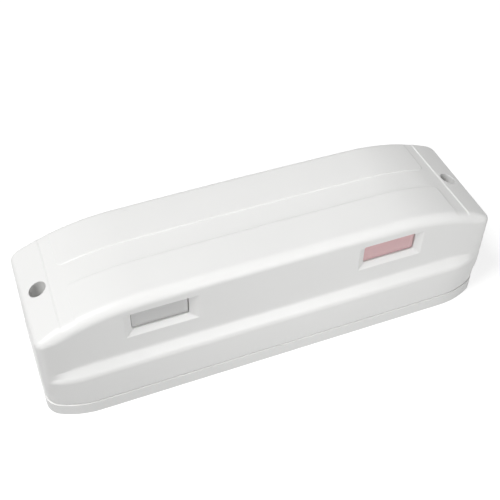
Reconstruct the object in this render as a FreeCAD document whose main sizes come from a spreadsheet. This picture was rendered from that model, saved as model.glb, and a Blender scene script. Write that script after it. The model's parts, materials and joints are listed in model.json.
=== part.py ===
import FreeCAD, Part
import math
import os
import re
import Sketcher

# Curtain motion detector: a crowned white housing on a flat back plate, with a grey and a red window.
# Millimetres. X runs along the housing, the windows face -Y, and the back plate lies on Z = 0.
# The origin is the middle of the flat back face.

SIZES = {
    # housing outside
    "length": 242.0,
    "depth": 70.3,
    "height": 68.4,
    "draft": 1.1,
    "crown_radius": 4130.0,
    "shoulder_length": 55.2,
    "shoulder_radius": 121.0,
    "sweep_length": 24.7,
    "sweep_radius": 42.6,
    "low_corner": 9.5,
    "upper_sweep_length": 9.0,
    "upper_corner": 5.4,
    "back_corner": 6.9,
    "least_corner": 0.8,
    "shelf_low": 27.75,
    "shelf_high": 32.8,
    "shelf_recess": 3.74,
    "rim_radius": 3.6,
    "shelf_edge_radius": 4.0,
    "shelf_foot_radius": 5.0,
    "wall": 2.5,
    "base_height": 7.2,
    "parting_gap": 0.2,
    "cover_setback": 0.25,
    # recess in the top that leaves two raised panels and the end caps
    "recess_drop": 0.7,
    "channel_width": 13.5,
    "channel_shift": 1.6,
    "panel_inset": 21.4,
    "panel_corner": 3.5,
    "cap_length": 14.4,
    # fixing holes at both ends
    "fixing_inset": 9.6,
    "fixing_shift": 1.6,
    "counterbore": 8.5,
    "screw_clearance": 4.5,
    "tunnel_wall": 2.0,
    "tunnel_seat": 3.0,
    "tunnel_rib": 3.0,
    # windows
    "window_spacing": 121.2,
    "window_drop": 15.9,
    "pane_length": 28.3,
    "pane_height": 10.0,
    "pane_gap": 0.35,
    "pane_corner": 0.8,
    "bevel_length": 3.8,
    "bevel_height": 3.4,
    "bevel_recess": 1.9,
    "pane_thickness": 3.0,
    "flange_margin": 2.4,
    "flange_thickness": 1.5,
    "window_seal": 0.6,
    "frame_margin": 4.2,
    # back plate
    "floor": 2.5,
    "lip_clearance": 0.3,
    "lip_thickness": 1.3,
    "lip_rise": 3.0,
    "seal_inset": 0.7,
    "seal_width": 1.2,
    "seal_groove": 1.0,
    "hook_spacing": 96.0,
    "hook_width": 8.0,
    "hook_rise": 8.0,
    "hook_nose": 1.1,
    "hook_catch": 2.2,
    "hook_edge": 0.7,
    "catch_clearance": 0.25,
    "cable_hole": 11.0,
    "cable_inset": 13.0,
    "cable_bore": 7.0,
    "grommet_flange": 15.0,
    "grommet_lip": 1.2,
    "grommet_back_lip": 0.8,
    "slip_fit": 0.1,
    # main circuit board
    "board_end_gap": 25.0,
    "board_depth": 40.0,
    "board_front_gap": 9.3,
    "board_thickness": 1.6,
    "board_corner": 0.8,
    "board_seat": 9.0,
    "pillar": 7.0,
    "screw_shank": 3.0,
    "screw_head": 5.6,
    "screw_head_height": 2.0,
    "screw_slot": 0.9,
    "screw_slot_depth": 0.8,
    "board_screw": 7.0,
    "holder_screw": 10.0,
    "pilot_floor": 0.6,
    "board_screw_inset": 7.0,
    "inner_screw_spacing": 56.0,
    # optics behind each window
    "holder_length": 36.0,
    "holder_height": 20.0,
    "holder_depth": 16.0,
    "holder_wall": 2.5,
    "holder_foot": 8.0,
    "holder_foot_thickness": 3.0,
    "lens_length": 30.0,
    "lens_height": 13.0,
    "lens_depth": 5.0,
    "lens_radius": 11.0,
    "lens_clearance": 0.15,
    "led_diameter": 5.0,
    "led_flange": 5.8,
    "led_flange_thickness": 1.0,
    "led_length": 8.6,
    "led_pitch": 9.0,
    "led_clearance": 0.2,
    "diode_width": 6.0,
    "diode_thickness": 3.0,
    "diode_pitch": 12.0,
    "diode_clearance": 0.2,
    "side_board_length": 30.0,
    "side_board_tab": 20.0,
    "side_board_rise": 2.0,
    "side_screw_spacing": 26.0,
    "side_screw_lift": 7.6,
    "side_screw_shank": 2.2,
    "side_screw_head": 4.2,
    "side_screw_head_height": 1.6,
    "side_screw": 6.0,
    "side_screw_boss": 5.0,
    "socket_length": 24.0,
    "socket_width": 6.0,
    "socket_height": 8.0,
    "socket_pitch": 2.54,
    # terminal block
    "terminal_pitch": 5.08,
    "terminal_depth": 10.2,
    "terminal_height": 14.0,
    "terminal_screw": 3.6,
    "terminal_screw_height": 5.0,
    "terminal_mouth": 3.8,
    "terminal_mouth_height": 4.0,
    "terminal_mouth_depth": 8.0,
    "terminal_floor": 2.0,
    "terminal_clamp": 3.4,
    "terminal_clamp_length": 6.0,
    "terminal_clamp_wall": 0.6,
    # parts on the main board
    "relay_length": 19.0,
    "relay_width": 15.5,
    "relay_height": 15.3,
    "relay_place": 65.0,
    "relay_pin_spacing": 12.2,
    "big_capacitor": 10.0,
    "big_capacitor_height": 16.0,
    "big_capacitor_place": 42.0,
    "small_capacitor": 6.3,
    "small_capacitor_height": 11.0,
    "small_capacitor_place": 55.5,
    "small_capacitor_pitch": 9.0,
    "choke_flange": 11.0,
    "choke_core": 5.0,
    "choke_height": 10.0,
    "choke_rim": 1.6,
    "choke_winding": 9.6,
    "choke_place": 44.0,
    "regulator_width": 10.0,
    "regulator_thickness": 4.4,
    "regulator_height": 9.0,
    "regulator_tab": 1.3,
    "regulator_tab_height": 15.4,
    "regulator_stand": 3.0,
    "regulator_pitch": 2.54,
    "regulator_place": 76.0,
    "chip_width": 12.0,
    "chip_thickness": 1.4,
    "chip_lead": 1.0,
    "chip_lead_width": 0.5,
    "chip_lead_pitch": 1.6,
    "chip_lead_thickness": 0.5,
    "chip_shift": 9.0,
    "amplifier_length": 5.0,
    "amplifier_width": 4.0,
    "amplifier_pitch": 1.27,
    "amplifier_place": 18.0,
    "crystal_length": 11.0,
    "crystal_width": 4.6,
    "crystal_height": 3.6,
    "crystal_corner": 2.1,
    "crystal_shift": 18.5,
    "crystal_pin_spacing": 4.9,
    "diode_body": 2.7,
    "diode_length": 5.2,
    "diode_reach": 10.2,
    "diode_stand": 0.4,
    "diode_row_pitch": 4.4,
    "diode_row_place": 80.5,
    "part_row_shift": 8.0,
    "lead_diameter": 0.8,
    "lead_stub": 1.6,
    "lead_spacing": 2.5,
    "lead_clearance": 0.1,
}
SHELF_STEPS = 4
UPWARD = 0.8
TERMINALS = 6
LEDS = 3
PHOTODIODES = 2
CHIP_LEADS = 6
AMPLIFIER_LEADS = 4
RECTIFIER_DIODES = 2
SMALL_CAPACITORS = 2
LEADS = 2
SOCKET_LEADS = 5
REGULATOR_LEADS = 3

doc = FreeCAD.newDocument("CurtainMotionDetector")
sheet = doc.addObject("Spreadsheet::Sheet", "Sizes")
for row, (alias, number) in enumerate(SIZES.items(), start=1):
    sheet.set(f"A{row}", alias)
    sheet.set(f"B{row}", str(number))
    sheet.setAlias(f"B{row}", alias)
doc.recompute()


# Expressions on the sheet

def bound(expression):
    """The expression with each name that has a cell turned into a reference to that cell."""
    def refer(word):
        return "Sizes." + word.group() if word.group() in SIZES else word.group()
    return re.sub(r"[a-z][a-z_0-9]*", refer, str(expression))


def value(expression):
    return float(sheet.evalExpression(bound(expression)))


def bind(thing, expressions):
    for prop, expression in expressions.items():
        thing.setExpression(prop, bound(expression))


def lean(level):
    """How far the drafted walls have come in at a level above the back face."""
    return f"(({level}) * tan(draft * 1deg))"


# Places that several pieces share

COVER_FOOT = "(base_height + parting_gap)"
FIXING_X = "(length / 2 - fixing_inset)"
BOARD_TOP = "(board_seat + board_thickness)"
BOARD_HALF = "(length / 2 - board_end_gap)"
BOARD_FRONT = "(-depth / 2 + board_front_gap)"
BOARD_BACK = f"({BOARD_FRONT} + board_depth)"
WINDOW_LEVEL = "(height - window_drop)"
WALL_AT_WINDOW = f"(-depth / 2 + shelf_recess + cover_setback + {lean(WINDOW_LEVEL)})"
PANE_FACE = f"({WALL_AT_WINDOW} + bevel_recess)"
FRAME_BACK = f"({PANE_FACE} + pane_thickness)"
FLANGE_FRONT = f"({FRAME_BACK} + window_seal)"
HOLDER_FRONT = f"({FLANGE_FRONT} + flange_thickness)"
HOLDER_BACK = f"({HOLDER_FRONT} + holder_depth)"
SIDE_BOARD_FRONT = f"({HOLDER_BACK} + led_flange_thickness)"
HOLDER_BOTTOM = f"({WINDOW_LEVEL} - holder_height / 2)"
HOLDER_TOP = f"({WINDOW_LEVEL} + holder_height / 2)"
FOOT_REACH = "(holder_length / 2 + holder_foot / 2)"
FOOT_Y = f"({HOLDER_FRONT} + holder_depth / 2)"
LIP_OUTSIDE = f"({lean('base_height')} + cover_setback + wall + lip_clearance)"
LIP_INSIDE = f"({LIP_OUTSIDE} + lip_thickness)"
BOSS_TOP = "(base_height + lip_rise)"
LIP_Y = f"(depth / 2 - {LIP_OUTSIDE})"
SEAL_INSET = f"({lean('base_height')} + cover_setback + seal_inset)"
CABLE_Y = "(depth / 2 - cable_inset)"
PART_ROW_Y = f"({BOARD_BACK} - part_row_shift)"
HEAD_UNDER_FOOT = f"({BOARD_TOP} + holder_foot_thickness)"
SIDES = {"left": -1, "right": 1}


# Building blocks

def new_body(name):
    return doc.addObject("PartDesign::Body", name)


def new_sketch(body, name, plane, lift="0"):
    """A sketch on one of the body's own origin planes, lifted along the plane's normal."""
    sketch = body.newObject("Sketcher::SketchObject", name)
    origin_plane = next(f for f in body.Origin.OriginFeatures if f.Role == plane)
    sketch.AttachmentSupport = [(origin_plane, "")]
    sketch.MapMode = "FlatFace"
    bind(sketch, {"AttachmentOffset.Base.z": lift})
    return sketch


def arc_between(start, end, radius):
    """The short arc from start to end. It turns left where radius is positive, and else right."""
    chord = end - start
    reach = math.sqrt(max(radius ** 2 - (chord.Length / 2) ** 2, 0.0))
    left = FreeCAD.Vector(-chord.y, chord.x, 0).normalize()
    centre = (start + end) * 0.5 + left * math.copysign(reach, radius)
    first, last = (start, end) if radius > 0 else (end, start)
    angles = [math.atan2(p.y - centre.y, p.x - centre.x) for p in (first, last)]
    return Part.ArcOfCircle(Part.Circle(centre, FreeCAD.Vector(0, 0, 1), abs(radius)), angles[0], angles[1])


def draw(sketch, corners):
    """Draws a closed outline. A corner is (x, y), or (x, y, radius) where an arc leads to the next corner."""
    points = [FreeCAD.Vector(value(corner[0]), value(corner[1]), 0) for corner in corners]
    count = len(corners)
    ends = []
    first = sketch.GeometryCount
    for i, corner in enumerate(corners):
        start, end = points[i], points[(i + 1) % count]
        if len(corner) == 2:
            sketch.addGeometry(Part.LineSegment(start, end), False)
            ends.append((1, 2))
        else:
            radius = value(corner[2])
            sketch.addGeometry(arc_between(start, end, radius), False)
            ends.append((1, 2) if radius > 0 else (2, 1))
    for i in range(count):
        following = (i + 1) % count
        sketch.addConstraint(
            Sketcher.Constraint("Coincident", first + i, ends[i][1], first + following, ends[following][0]))
    for i, corner in enumerate(corners):
        for kind, distance, expression in zip(("DistanceX", "DistanceY"), points[i], corner):
            number = sketch.addConstraint(Sketcher.Constraint(kind, -1, 1, first + i, ends[i][0], distance))
            sketch.setExpression(f"Constraints[{number}]", bound(expression))
        if len(corner) == 3:
            radius = abs(value(corner[2]))
            sign = "" if value(corner[2]) > 0 else "-"
            number = sketch.addConstraint(Sketcher.Constraint("Radius", first + i, radius))
            sketch.setExpression(f"Constraints[{number}]", bound(f"{sign}({corner[2]})"))


def rectangle(left, bottom, right, top, radius=None):
    """The corners of a rectangle, rounded where a radius is given."""
    if radius is None:
        return [(left, bottom), (right, bottom), (right, top), (left, top)]
    return [
        (f"{left} + {radius}", bottom),
        (f"{right} - {radius}", bottom, radius),
        (right, f"{bottom} + {radius}"),
        (right, f"{top} - {radius}", radius),
        (f"{right} - {radius}", top),
        (f"{left} + {radius}", top, radius),
        (left, f"{top} - {radius}"),
        (left, f"{bottom} + {radius}", radius),
    ]


def pad(body, name, sketch, length, taper=None, backwards=False, both_ways=False):
    feature = body.newObject("PartDesign::Pad", name)
    feature.Profile = sketch
    feature.Reversed = backwards
    if both_ways:
        feature.SideType = "Symmetric"
    bind(feature, {"Length": length})
    if taper is not None:
        bind(feature, {"TaperAngle": taper})
    return feature


def slab(name, plane, corners, lift, length, taper=None, backwards=False):
    """A body made of one pad."""
    body = new_body(name)
    sketch = new_sketch(body, name + "_outline", plane, lift)
    draw(sketch, corners)
    pad(body, name + "_pad", sketch, length, taper, backwards)
    return body


def place(solid, point, turn=None):
    """Puts a solid's own origin at a point whose coordinates are expressions, turned by (axis, degrees)."""
    if turn is not None:
        rotation = FreeCAD.Rotation(FreeCAD.Vector(*turn[0]), turn[1])
        solid.Placement = FreeCAD.Placement(FreeCAD.Vector(), rotation)
    bind(solid, {f"Placement.Base.{axis}": point[i] for i, axis in enumerate("xyz")})
    return solid


def box(name, low, size):
    solid = doc.addObject("Part::Box", name)
    bind(solid, {"Length": size[0], "Width": size[1], "Height": size[2]})
    return place(solid, low)


ALONG = {"z": None, "y": ((1, 0, 0), -90), "-y": ((1, 0, 0), 90), "x": ((0, 1, 0), 90)}


def cylinder(name, radius, length, base, along="z"):
    solid = doc.addObject("Part::Cylinder", name)
    bind(solid, {"Radius": radius, "Height": length})
    return place(solid, base, ALONG[along])


def sphere(name, radius, centre):
    solid = doc.addObject("Part::Sphere", name)
    bind(solid, {"Radius": radius})
    return place(solid, centre)


def fuse(name, solids):
    joined = doc.addObject("Part::MultiFuse", name)
    joined.Shapes = solids
    joined.Refine = True
    return joined


def cut(name, base, tool):
    result = doc.addObject("Part::Cut", name)
    result.Base = base
    result.Tool = tool
    result.Refine = True
    return result


def common(name, solids):
    result = doc.addObject("Part::MultiCommon", name)
    result.Shapes = solids
    return result


def group(name, solids):
    """Several like solids that stay separate in one sub-part."""
    together = doc.addObject("Part::Compound", name)
    together.Links = solids
    return together


# Housing outlines

def housing_outline(inset, share):
    """Plan outline, brought in by inset. Share is 0 in the lower band and 1 above the shelf."""
    end = f"(length / 2 - {inset})"
    front = f"(-depth / 2 + shelf_recess * {share} + {inset})"
    back = f"(depth / 2 - {inset})"
    start = f"(length / 2 - sweep_length + (sweep_length - upper_sweep_length) * {share})"
    sweep = f"(sweep_radius - {inset})"
    small = f"max(low_corner + (upper_corner - low_corner) * {share} - {inset}; least_corner)"
    large = f"max(back_corner - {inset}; least_corner)"
    across = f"({end} - {small} - {start})"
    along = f"sqrt(({sweep} - {small})^2 - {across}^2)"
    grow = f"({sweep} / ({sweep} - {small}))"
    meet_x = f"({start} + {across} * {grow})"
    meet_y = f"({front} + {sweep} - {along} * {grow})"
    end_y = f"({front} + {sweep} - {along})"
    return [
        (f"-{start}", front),
        (start, front, sweep),
        (meet_x, meet_y, small),
        (end, end_y),
        (end, f"{back} - {large}", large),
        (f"{end} - {large}", back),
        (f"-({end} - {large})", back, large),
        (f"-{end}", f"{back} - {large}"),
        (f"-{end}", end_y, small),
        (f"-{meet_x}", meet_y, sweep),
    ]


def shelf_levels():
    """Levels up the rounded shelf, each with the share of the shelf's recess reached there."""
    slope = "atan(shelf_recess / (shelf_high - shelf_low))"
    low_tangent = f"shelf_edge_radius * tan({slope} / 2)"
    high_tangent = f"shelf_foot_radius * tan({slope} / 2)"
    levels = []
    for step in range(SHELF_STEPS + 1):
        turn = f"({slope} * {step} / {SHELF_STEPS})"
        level = f"(shelf_low - {low_tangent} + shelf_edge_radius * sin({turn}))"
        levels.append((level, f"(shelf_edge_radius * (1 - cos({turn})) / shelf_recess)"))
    for step in range(SHELF_STEPS, -1, -1):
        turn = f"({slope} * {step} / {SHELF_STEPS})"
        level = f"(shelf_high + {high_tangent} - shelf_foot_radius * sin({turn}))"
        levels.append((level, f"(1 - shelf_foot_radius * (1 - cos({turn})) / shelf_recess)"))
    return levels


def crown_outline(drop, top):
    """The region above the crown: a long flat arc with a tighter shoulder arc towards each end."""
    apex = f"(height - {drop})"
    start = "(length / 2 - shoulder_length)"
    rise = f"sqrt(crown_radius^2 - {start}^2)"
    start_z = f"({apex} - crown_radius + {rise})"
    ratio = "((crown_radius - shoulder_radius) / crown_radius)"
    centre_x = f"({start} * {ratio})"
    centre_z = f"({apex} - crown_radius + {rise} * {ratio})"
    end = "(length / 2 + wall)"
    end_z = f"({centre_z} + sqrt(shoulder_radius^2 - ({end} - {centre_x})^2))"
    return [
        (f"-{end}", end_z, "-shoulder_radius"),
        (f"-{start}", start_z, "-crown_radius"),
        (start, start_z, "-shoulder_radius"),
        (end, end_z),
        (end, top),
        (f"-{end}", top),
    ]


def crowned_loft(name, inset, drop, bottom, shelf):
    """The housing's form, brought in by inset on every wall and lowered by drop under the crown."""
    body = new_body(name)
    top = "(height + wall)"
    sketches = []
    for number, (level, share) in enumerate([(bottom, "0")] + shelf + [(top, "1")]):
        sketch = new_sketch(body, f"{name}_section_{number}", "XY_Plane", level)
        draw(sketch, housing_outline(f"({lean(level)} + cover_setback + {inset})", share))
        sketches.append(sketch)
    loft = body.newObject("PartDesign::AdditiveLoft", name + "_loft")
    loft.Profile = sketches[0]
    loft.Sections = sketches[1:]
    loft.Ruled = True
    crown = new_sketch(body, name + "_crown", "XZ_Plane")
    draw(crown, crown_outline(drop, f"({top} + wall)"))
    doc.recompute()
    before = body.Shape.Volume
    pocket = body.newObject("PartDesign::Pocket", name + "_crown_cut")
    pocket.Profile = crown
    pocket.Type = "ThroughAll"
    pocket.SideType = "Symmetric"
    doc.recompute()
    if not body.Shape.Volume < before:
        raise RuntimeError(f"{name}: the crown cut removed nothing")
    return body


def edges_of(shape, wanted):
    """Names of the edges that pass a test of their own geometry."""
    return [f"Edge{number}" for number, edge in enumerate(shape.Edges, start=1) if wanted(edge)]


def fillet(body, name, edges, radius):
    base = body.Tip
    feature = body.newObject("PartDesign::Fillet", name)
    feature.Base = (base, edges)
    bind(feature, {"Radius": radius})
    return feature


def rim_edges(shape):
    """Edges round the crown: each borders a face that looks up and one that doesn't."""
    def looks_up(face):
        u0, u1, v0, v1 = face.ParameterRange
        return face.normalAt((u0 + u1) / 2, (v0 + v1) / 2).z > UPWARD
    up = [edge for face in shape.Faces if looks_up(face) for edge in face.Edges]
    counts = {}
    for edge in up:
        counts[edge.hashCode()] = counts.get(edge.hashCode(), 0) + 1
    return edges_of(shape, lambda edge: counts.get(edge.hashCode()) == 1)


# Places that repeat

def window_x(side):
    return f"({SIDES[side]} * window_spacing / 2)"


def fixing_x(side):
    return f"({SIDES[side]} * {FIXING_X})"


def spread(count, pitch):
    """Offsets of a row of count things at a pitch, about its middle."""
    return [f"({number - (count - 1) / 2} * {pitch})" for number in range(count)]


def holder_screw_places():
    return [(f"({window_x(side)} + {sign} * {FOOT_REACH})", FOOT_Y) for side in SIDES for sign in (-1, 1)]


def board_screw_places():
    outer_x = f"({BOARD_HALF} - board_screw_inset)"
    y = f"({BOARD_BACK} - board_screw_inset)"
    return [(f"({sign} * {x})", y) for x in (outer_x, "inner_screw_spacing / 2") for sign in (-1, 1)]


leg_places = []


def legs(name, places):
    """Leads that go down through the main board. The board is drilled at each place listed here."""
    leg_places.extend(places)
    length = "board_thickness + lead_stub"
    bottom = "(board_seat - lead_stub)"
    return [cylinder(f"{name}_leg_{number}", "lead_diameter / 2", length, (x, y, bottom))
            for number, (x, y) in enumerate(places)]


# Cover

def window_opening(side):
    """The bevelled recess and the opening behind it."""
    x = window_x(side)
    half_length = "(pane_length / 2 + pane_gap)"
    half_height = "(pane_height / 2 + pane_gap)"
    opening = slab(
        f"window_opening_{side}", "XZ_Plane",
        rectangle(f"({x} - {half_length})", f"({WINDOW_LEVEL} - {half_height})",
                  f"({x} + {half_length})", f"({WINDOW_LEVEL} + {half_height})", "pane_corner"),
        f"-({WALL_AT_WINDOW})", f"{FLANGE_FRONT} - {WALL_AT_WINDOW}", backwards=True)
    bevel = doc.addObject("Part::Wedge", f"window_bevel_{side}")
    far_length = "(pane_length / 2 + 2 * bevel_length - pane_gap)"
    far_height = "(pane_height / 2 + 2 * bevel_height - pane_gap)"
    bind(bevel, {
        "Xmin": f"-{far_length}", "Xmax": far_length, "Zmin": f"-{far_height}", "Zmax": far_height,
        "X2min": f"-{half_length}", "X2max": half_length, "Z2min": f"-{half_height}", "Z2max": half_height,
        "Ymin": "0", "Ymax": "2 * bevel_recess",
    })
    place(bevel, (x, f"{WALL_AT_WINDOW} - bevel_recess", WINDOW_LEVEL))
    return [opening, bevel]


def top_recess():
    """The channel between the two raised panels and the strips between them and the end caps."""
    above = new_body("recess_above")
    sketch = new_sketch(above, "recess_above_outline", "XZ_Plane")
    draw(sketch, crown_outline("recess_drop", "(height + wall)"))
    pad(above, "recess_above_pad", sketch, "depth", both_ways=True)
    strip = box("recess_strip", ("-(length / 2 - cap_length)", "-depth / 2", "height / 2"),
                ("length - 2 * cap_length", "depth", "height"))
    half = "(length / 2 - panel_inset)"
    edges = {"front": ("-depth", "(channel_shift - channel_width / 2)"),
             "back": ("(channel_shift + channel_width / 2)", "depth")}
    panels = [slab(f"{name}_panel", "XY_Plane", rectangle(f"-{half}", low, half, high, "panel_corner"),
                   "height / 2", "height")
              for name, (low, high) in edges.items()]
    return cut("recess", common("recess_slab", [strip, above]), fuse("panels", panels))


def hook_places():
    return [(along, across) for along in (-1, 1) for across in (-1, 1)]


def catch_pockets():
    """Pockets inside the long walls that the hooks of the back plate snap into."""
    pockets = []
    for number, (along, across) in enumerate(hook_places()):
        inner = LIP_Y if across > 0 else f"(-{LIP_Y} - hook_nose - catch_clearance)"
        pockets.append(box(
            f"catch_pocket_{number}",
            (f"{along} * hook_spacing / 2 - hook_width / 2 - catch_clearance", inner,
             "base_height + hook_rise - hook_catch - catch_clearance"),
            ("hook_width + 2 * catch_clearance", "hook_nose + catch_clearance",
             "hook_catch + 2 * catch_clearance")))
    return pockets


def make_cover():
    """A thin crowned shell. The tunnels and the frames round the windows are left standing in its cavity."""
    outside = crowned_loft("cover_outside", "0", "0", COVER_FOOT, shelf_levels())
    fillet(outside, "rim", rim_edges(outside.Shape), "rim_radius")
    inside = crowned_loft("cover_inside", "wall", "wall", "floor", [("shelf_low", "0"), ("shelf_high", "1")])
    standing = []
    holes = []
    for side in SIDES:
        x = fixing_x(side)
        radius = "(counterbore / 2 + tunnel_wall)"
        standing.append(cylinder(f"tunnel_{side}", radius, f"height - {BOSS_TOP}",
                                 (x, "fixing_shift", BOSS_TOP)))
        standing.append(box(
            f"tunnel_rib_{side}",
            (f"{x} - (1 - {SIDES[side]}) / 2 * fixing_inset", "fixing_shift - tunnel_rib / 2", BOSS_TOP),
            ("fixing_inset", "tunnel_rib", f"height - {BOSS_TOP}")))
        standing.append(box(
            f"window_frame_{side}",
            (f"{window_x(side)} - pane_length / 2 - frame_margin", WALL_AT_WINDOW,
             f"{WINDOW_LEVEL} - pane_height / 2 - frame_margin"),
            ("pane_length + 2 * frame_margin", f"{FRAME_BACK} - {WALL_AT_WINDOW}",
             "pane_height + 2 * frame_margin")))
        holes.append(cylinder(f"counterbore_{side}", "counterbore / 2", "height",
                              (x, "fixing_shift", f"{BOSS_TOP} + tunnel_seat")))
        holes.append(cylinder(f"tunnel_hole_{side}", "screw_clearance / 2", "height",
                              (x, "fixing_shift", "0")))
        holes.extend(window_opening(side))
    cavity = cut("cover_cavity", inside, fuse("cover_standing", standing))
    shell = cut("cover_shell", cut("cover_panelled", outside, top_recess()), cavity)
    return cut("cover", shell, fuse("cover_holes", holes + catch_pockets()))


# Back plate, its seal and the cable grommet

def ring(name, inset, width, lift, height):
    outer = slab(f"{name}_outside", "XY_Plane", housing_outline(inset, "0"), lift, height)
    inner = slab(f"{name}_inside", "XY_Plane", housing_outline(f"({inset} + {width})", "0"), lift, height)
    return cut(name, outer, inner)


def snap_hooks():
    """Upright hooks on the lip with a sloped nose that points outwards."""
    hooks = []
    for number, (along, across) in enumerate(hook_places()):
        body = new_body(f"hook_{number}")
        sketch = new_sketch(body, f"hook_{number}_outline", "YZ_Plane",
                            f"({along} * hook_spacing / 2 - hook_width / 2)")
        top = "(base_height + hook_rise)"
        nose = f"({top} - hook_catch)"
        outline = [
            (f"({LIP_Y} - lip_thickness)", "base_height"),
            (LIP_Y, "base_height"),
            (LIP_Y, nose),
            (f"({LIP_Y} + hook_nose)", nose),
            (f"({LIP_Y} + hook_nose)", f"({nose} + hook_edge)"),
            (LIP_Y, top),
            (f"({LIP_Y} - lip_thickness)", top),
        ]
        draw(sketch, [(f"{across} * {y}", z) for y, z in outline])
        pad(body, f"hook_{number}_pad", sketch, "hook_width")
        hooks.append(body)
    return hooks


def make_base_plate(seal, screw_places):
    block = slab("base_block", "XY_Plane", housing_outline("0", "0"), "0", "base_height",
                 taper="-draft * 1deg")
    lip = slab("base_lip", "XY_Plane", housing_outline(LIP_OUTSIDE, "0"), "floor", f"{BOSS_TOP} - floor")
    hollow = slab("base_hollow", "XY_Plane", housing_outline(LIP_INSIDE, "0"), "floor", "height")
    added = [cut("base_tray", fuse("base_solid", [block, lip]), hollow)] + snap_hooks()
    holes = [
        seal,
        cylinder("cable_hole", "cable_hole / 2", "floor", ("0", CABLE_Y, "0")),
        cylinder("cable_counterbore", "grommet_flange / 2", "grommet_back_lip", ("0", CABLE_Y, "0")),
    ]
    for side in SIDES:
        added.append(cylinder(f"end_boss_{side}", "counterbore / 2 + tunnel_wall", f"{BOSS_TOP} - floor",
                              (fixing_x(side), "fixing_shift", "floor")))
        holes.append(cylinder(f"end_hole_{side}", "screw_clearance / 2", BOSS_TOP,
                              (fixing_x(side), "fixing_shift", "0")))
    for number, (x, y) in enumerate(screw_places):
        added.append(cylinder(f"pillar_{number}", "pillar / 2", "board_seat - floor", (x, y, "floor")))
        holes.append(cylinder(f"pilot_{number}", "screw_shank / 2 + slip_fit", "board_seat",
                              (x, y, "floor + pilot_floor")))
    return cut("base_plate", fuse("base_filled", added), fuse("base_holes", holes))


def make_grommet():
    back = ("0", CABLE_Y, "0")
    flange = "grommet_flange / 2 - slip_fit"
    barrel = cylinder("grommet_barrel", "cable_hole / 2 - slip_fit", "floor + grommet_lip", back)
    upper = cylinder("grommet_flange_disc", flange, "grommet_lip", ("0", CABLE_Y, "floor"))
    lower = cylinder("grommet_back_disc", flange, "grommet_back_lip", back)
    bore = cylinder("grommet_bore", "cable_bore / 2", "height", ("0", CABLE_Y, "-floor"))
    return cut("cable_grommet", fuse("grommet_solid", [barrel, upper, lower]), bore)


# Screws

def screw(name, shank, head, head_height, length, point, along="z"):
    """A pan head screw. Point is under the head, and along is the way its head faces."""
    back = {"z": (0, 0, -1), "-y": (0, 1, 0), "y": (0, -1, 0)}[along]
    tip = tuple(f"{point[i]} + {back[i]} * ({length})" for i in range(3))
    face = tuple(f"{point[i]} - {back[i]} * ({head_height} - screw_slot_depth)" for i in range(3))
    body = fuse(name + "_body", [
        cylinder(name + "_shank", f"{shank} / 2", length, tip, along),
        cylinder(name + "_head", f"{head} / 2", head_height, point, along),
    ])
    size = {"z": (head, "screw_slot", head_height)}.get(along, ("screw_slot", head_height, head))
    low = list(face)
    low[0] += f" - ({size[0]}) / 2"
    if along == "z":
        low[1] += " - screw_slot / 2"
    else:
        low[2] += f" - {head} / 2"
        low[1] += f" - {head_height}" if along == "-y" else ""
    return cut(name, body, box(name + "_slot", low, size))


def make_board_screws():
    return group("board_screws", [
        screw(f"board_screw_{number}", "screw_shank", "screw_head", "screw_head_height", "board_screw",
              (x, y, BOARD_TOP)) for number, (x, y) in enumerate(board_screw_places())])


def make_holder_screws():
    return group("holder_screws", [
        screw(f"holder_screw_{number}", "screw_shank", "screw_head", "screw_head_height", "holder_screw",
              (x, y, HEAD_UNDER_FOOT)) for number, (x, y) in enumerate(holder_screw_places())])


def side_screw_places(side):
    return [(f"({window_x(side)} + {sign} * side_screw_spacing / 2)", f"({WINDOW_LEVEL} + side_screw_lift)")
            for sign in (-1, 1)]


def make_optics_screws():
    head_seat = f"({SIDE_BOARD_FRONT} + board_thickness)"
    screws = []
    for side in SIDES:
        for number, (x, z) in enumerate(side_screw_places(side)):
            screws.append(screw(f"optics_screw_{side}_{number}", "side_screw_shank", "side_screw_head",
                                "side_screw_head_height", "side_screw", (x, head_seat, z), "y"))
    return group("optics_screws", screws)


# Windows and the optics behind them

def window_rectangle(side, margin, radius):
    x = window_x(side)
    half_length = f"(pane_length / 2 + {margin})"
    half_height = f"(pane_height / 2 + {margin})"
    return rectangle(f"({x} - {half_length})", f"({WINDOW_LEVEL} - {half_height})",
                     f"({x} + {half_length})", f"({WINDOW_LEVEL} + {half_height})", radius)


def facing_slab(name, corners, front, thickness):
    """A slab whose outline faces the front, from one Y place back by its thickness."""
    return slab(name, "XZ_Plane", corners, f"-({front})", thickness, backwards=True)


def make_window(name, side):
    pane = facing_slab(f"{name}_pane", window_rectangle(side, "0", "pane_corner"), PANE_FACE,
                       f"{FLANGE_FRONT} - {PANE_FACE}")
    flange = facing_slab(f"{name}_flange", window_rectangle(side, "flange_margin", "flange_margin"),
                         FLANGE_FRONT, "flange_thickness")
    return fuse(name, [pane, flange])


def make_window_seals():
    seals = []
    for side in SIDES:
        outer = facing_slab(f"window_seal_{side}_outside",
                            window_rectangle(side, "flange_margin", "flange_margin"),
                            FRAME_BACK, "window_seal")
        inner = facing_slab(f"window_seal_{side}_inside",
                            window_rectangle(side, "pane_gap", "pane_corner"), FRAME_BACK, "window_seal")
        seals.append(cut(f"window_seal_{side}", outer, inner))
    return group("window_seals", seals)


def make_lens(name, side):
    """A cylindrical lens: a block with one rounded face that spreads the beam into a curtain."""
    x = window_x(side)
    block = box(f"{name}_block", (f"{x} - lens_length / 2", HOLDER_FRONT, f"{WINDOW_LEVEL} - lens_height / 2"),
                ("lens_length", "lens_depth", "lens_height"))
    round_face = cylinder(f"{name}_round", "lens_radius", "lens_length",
                          (f"{x} - lens_length / 2", f"{HOLDER_FRONT} + lens_radius", WINDOW_LEVEL), "x")
    return common(name, [block, round_face])


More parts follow.
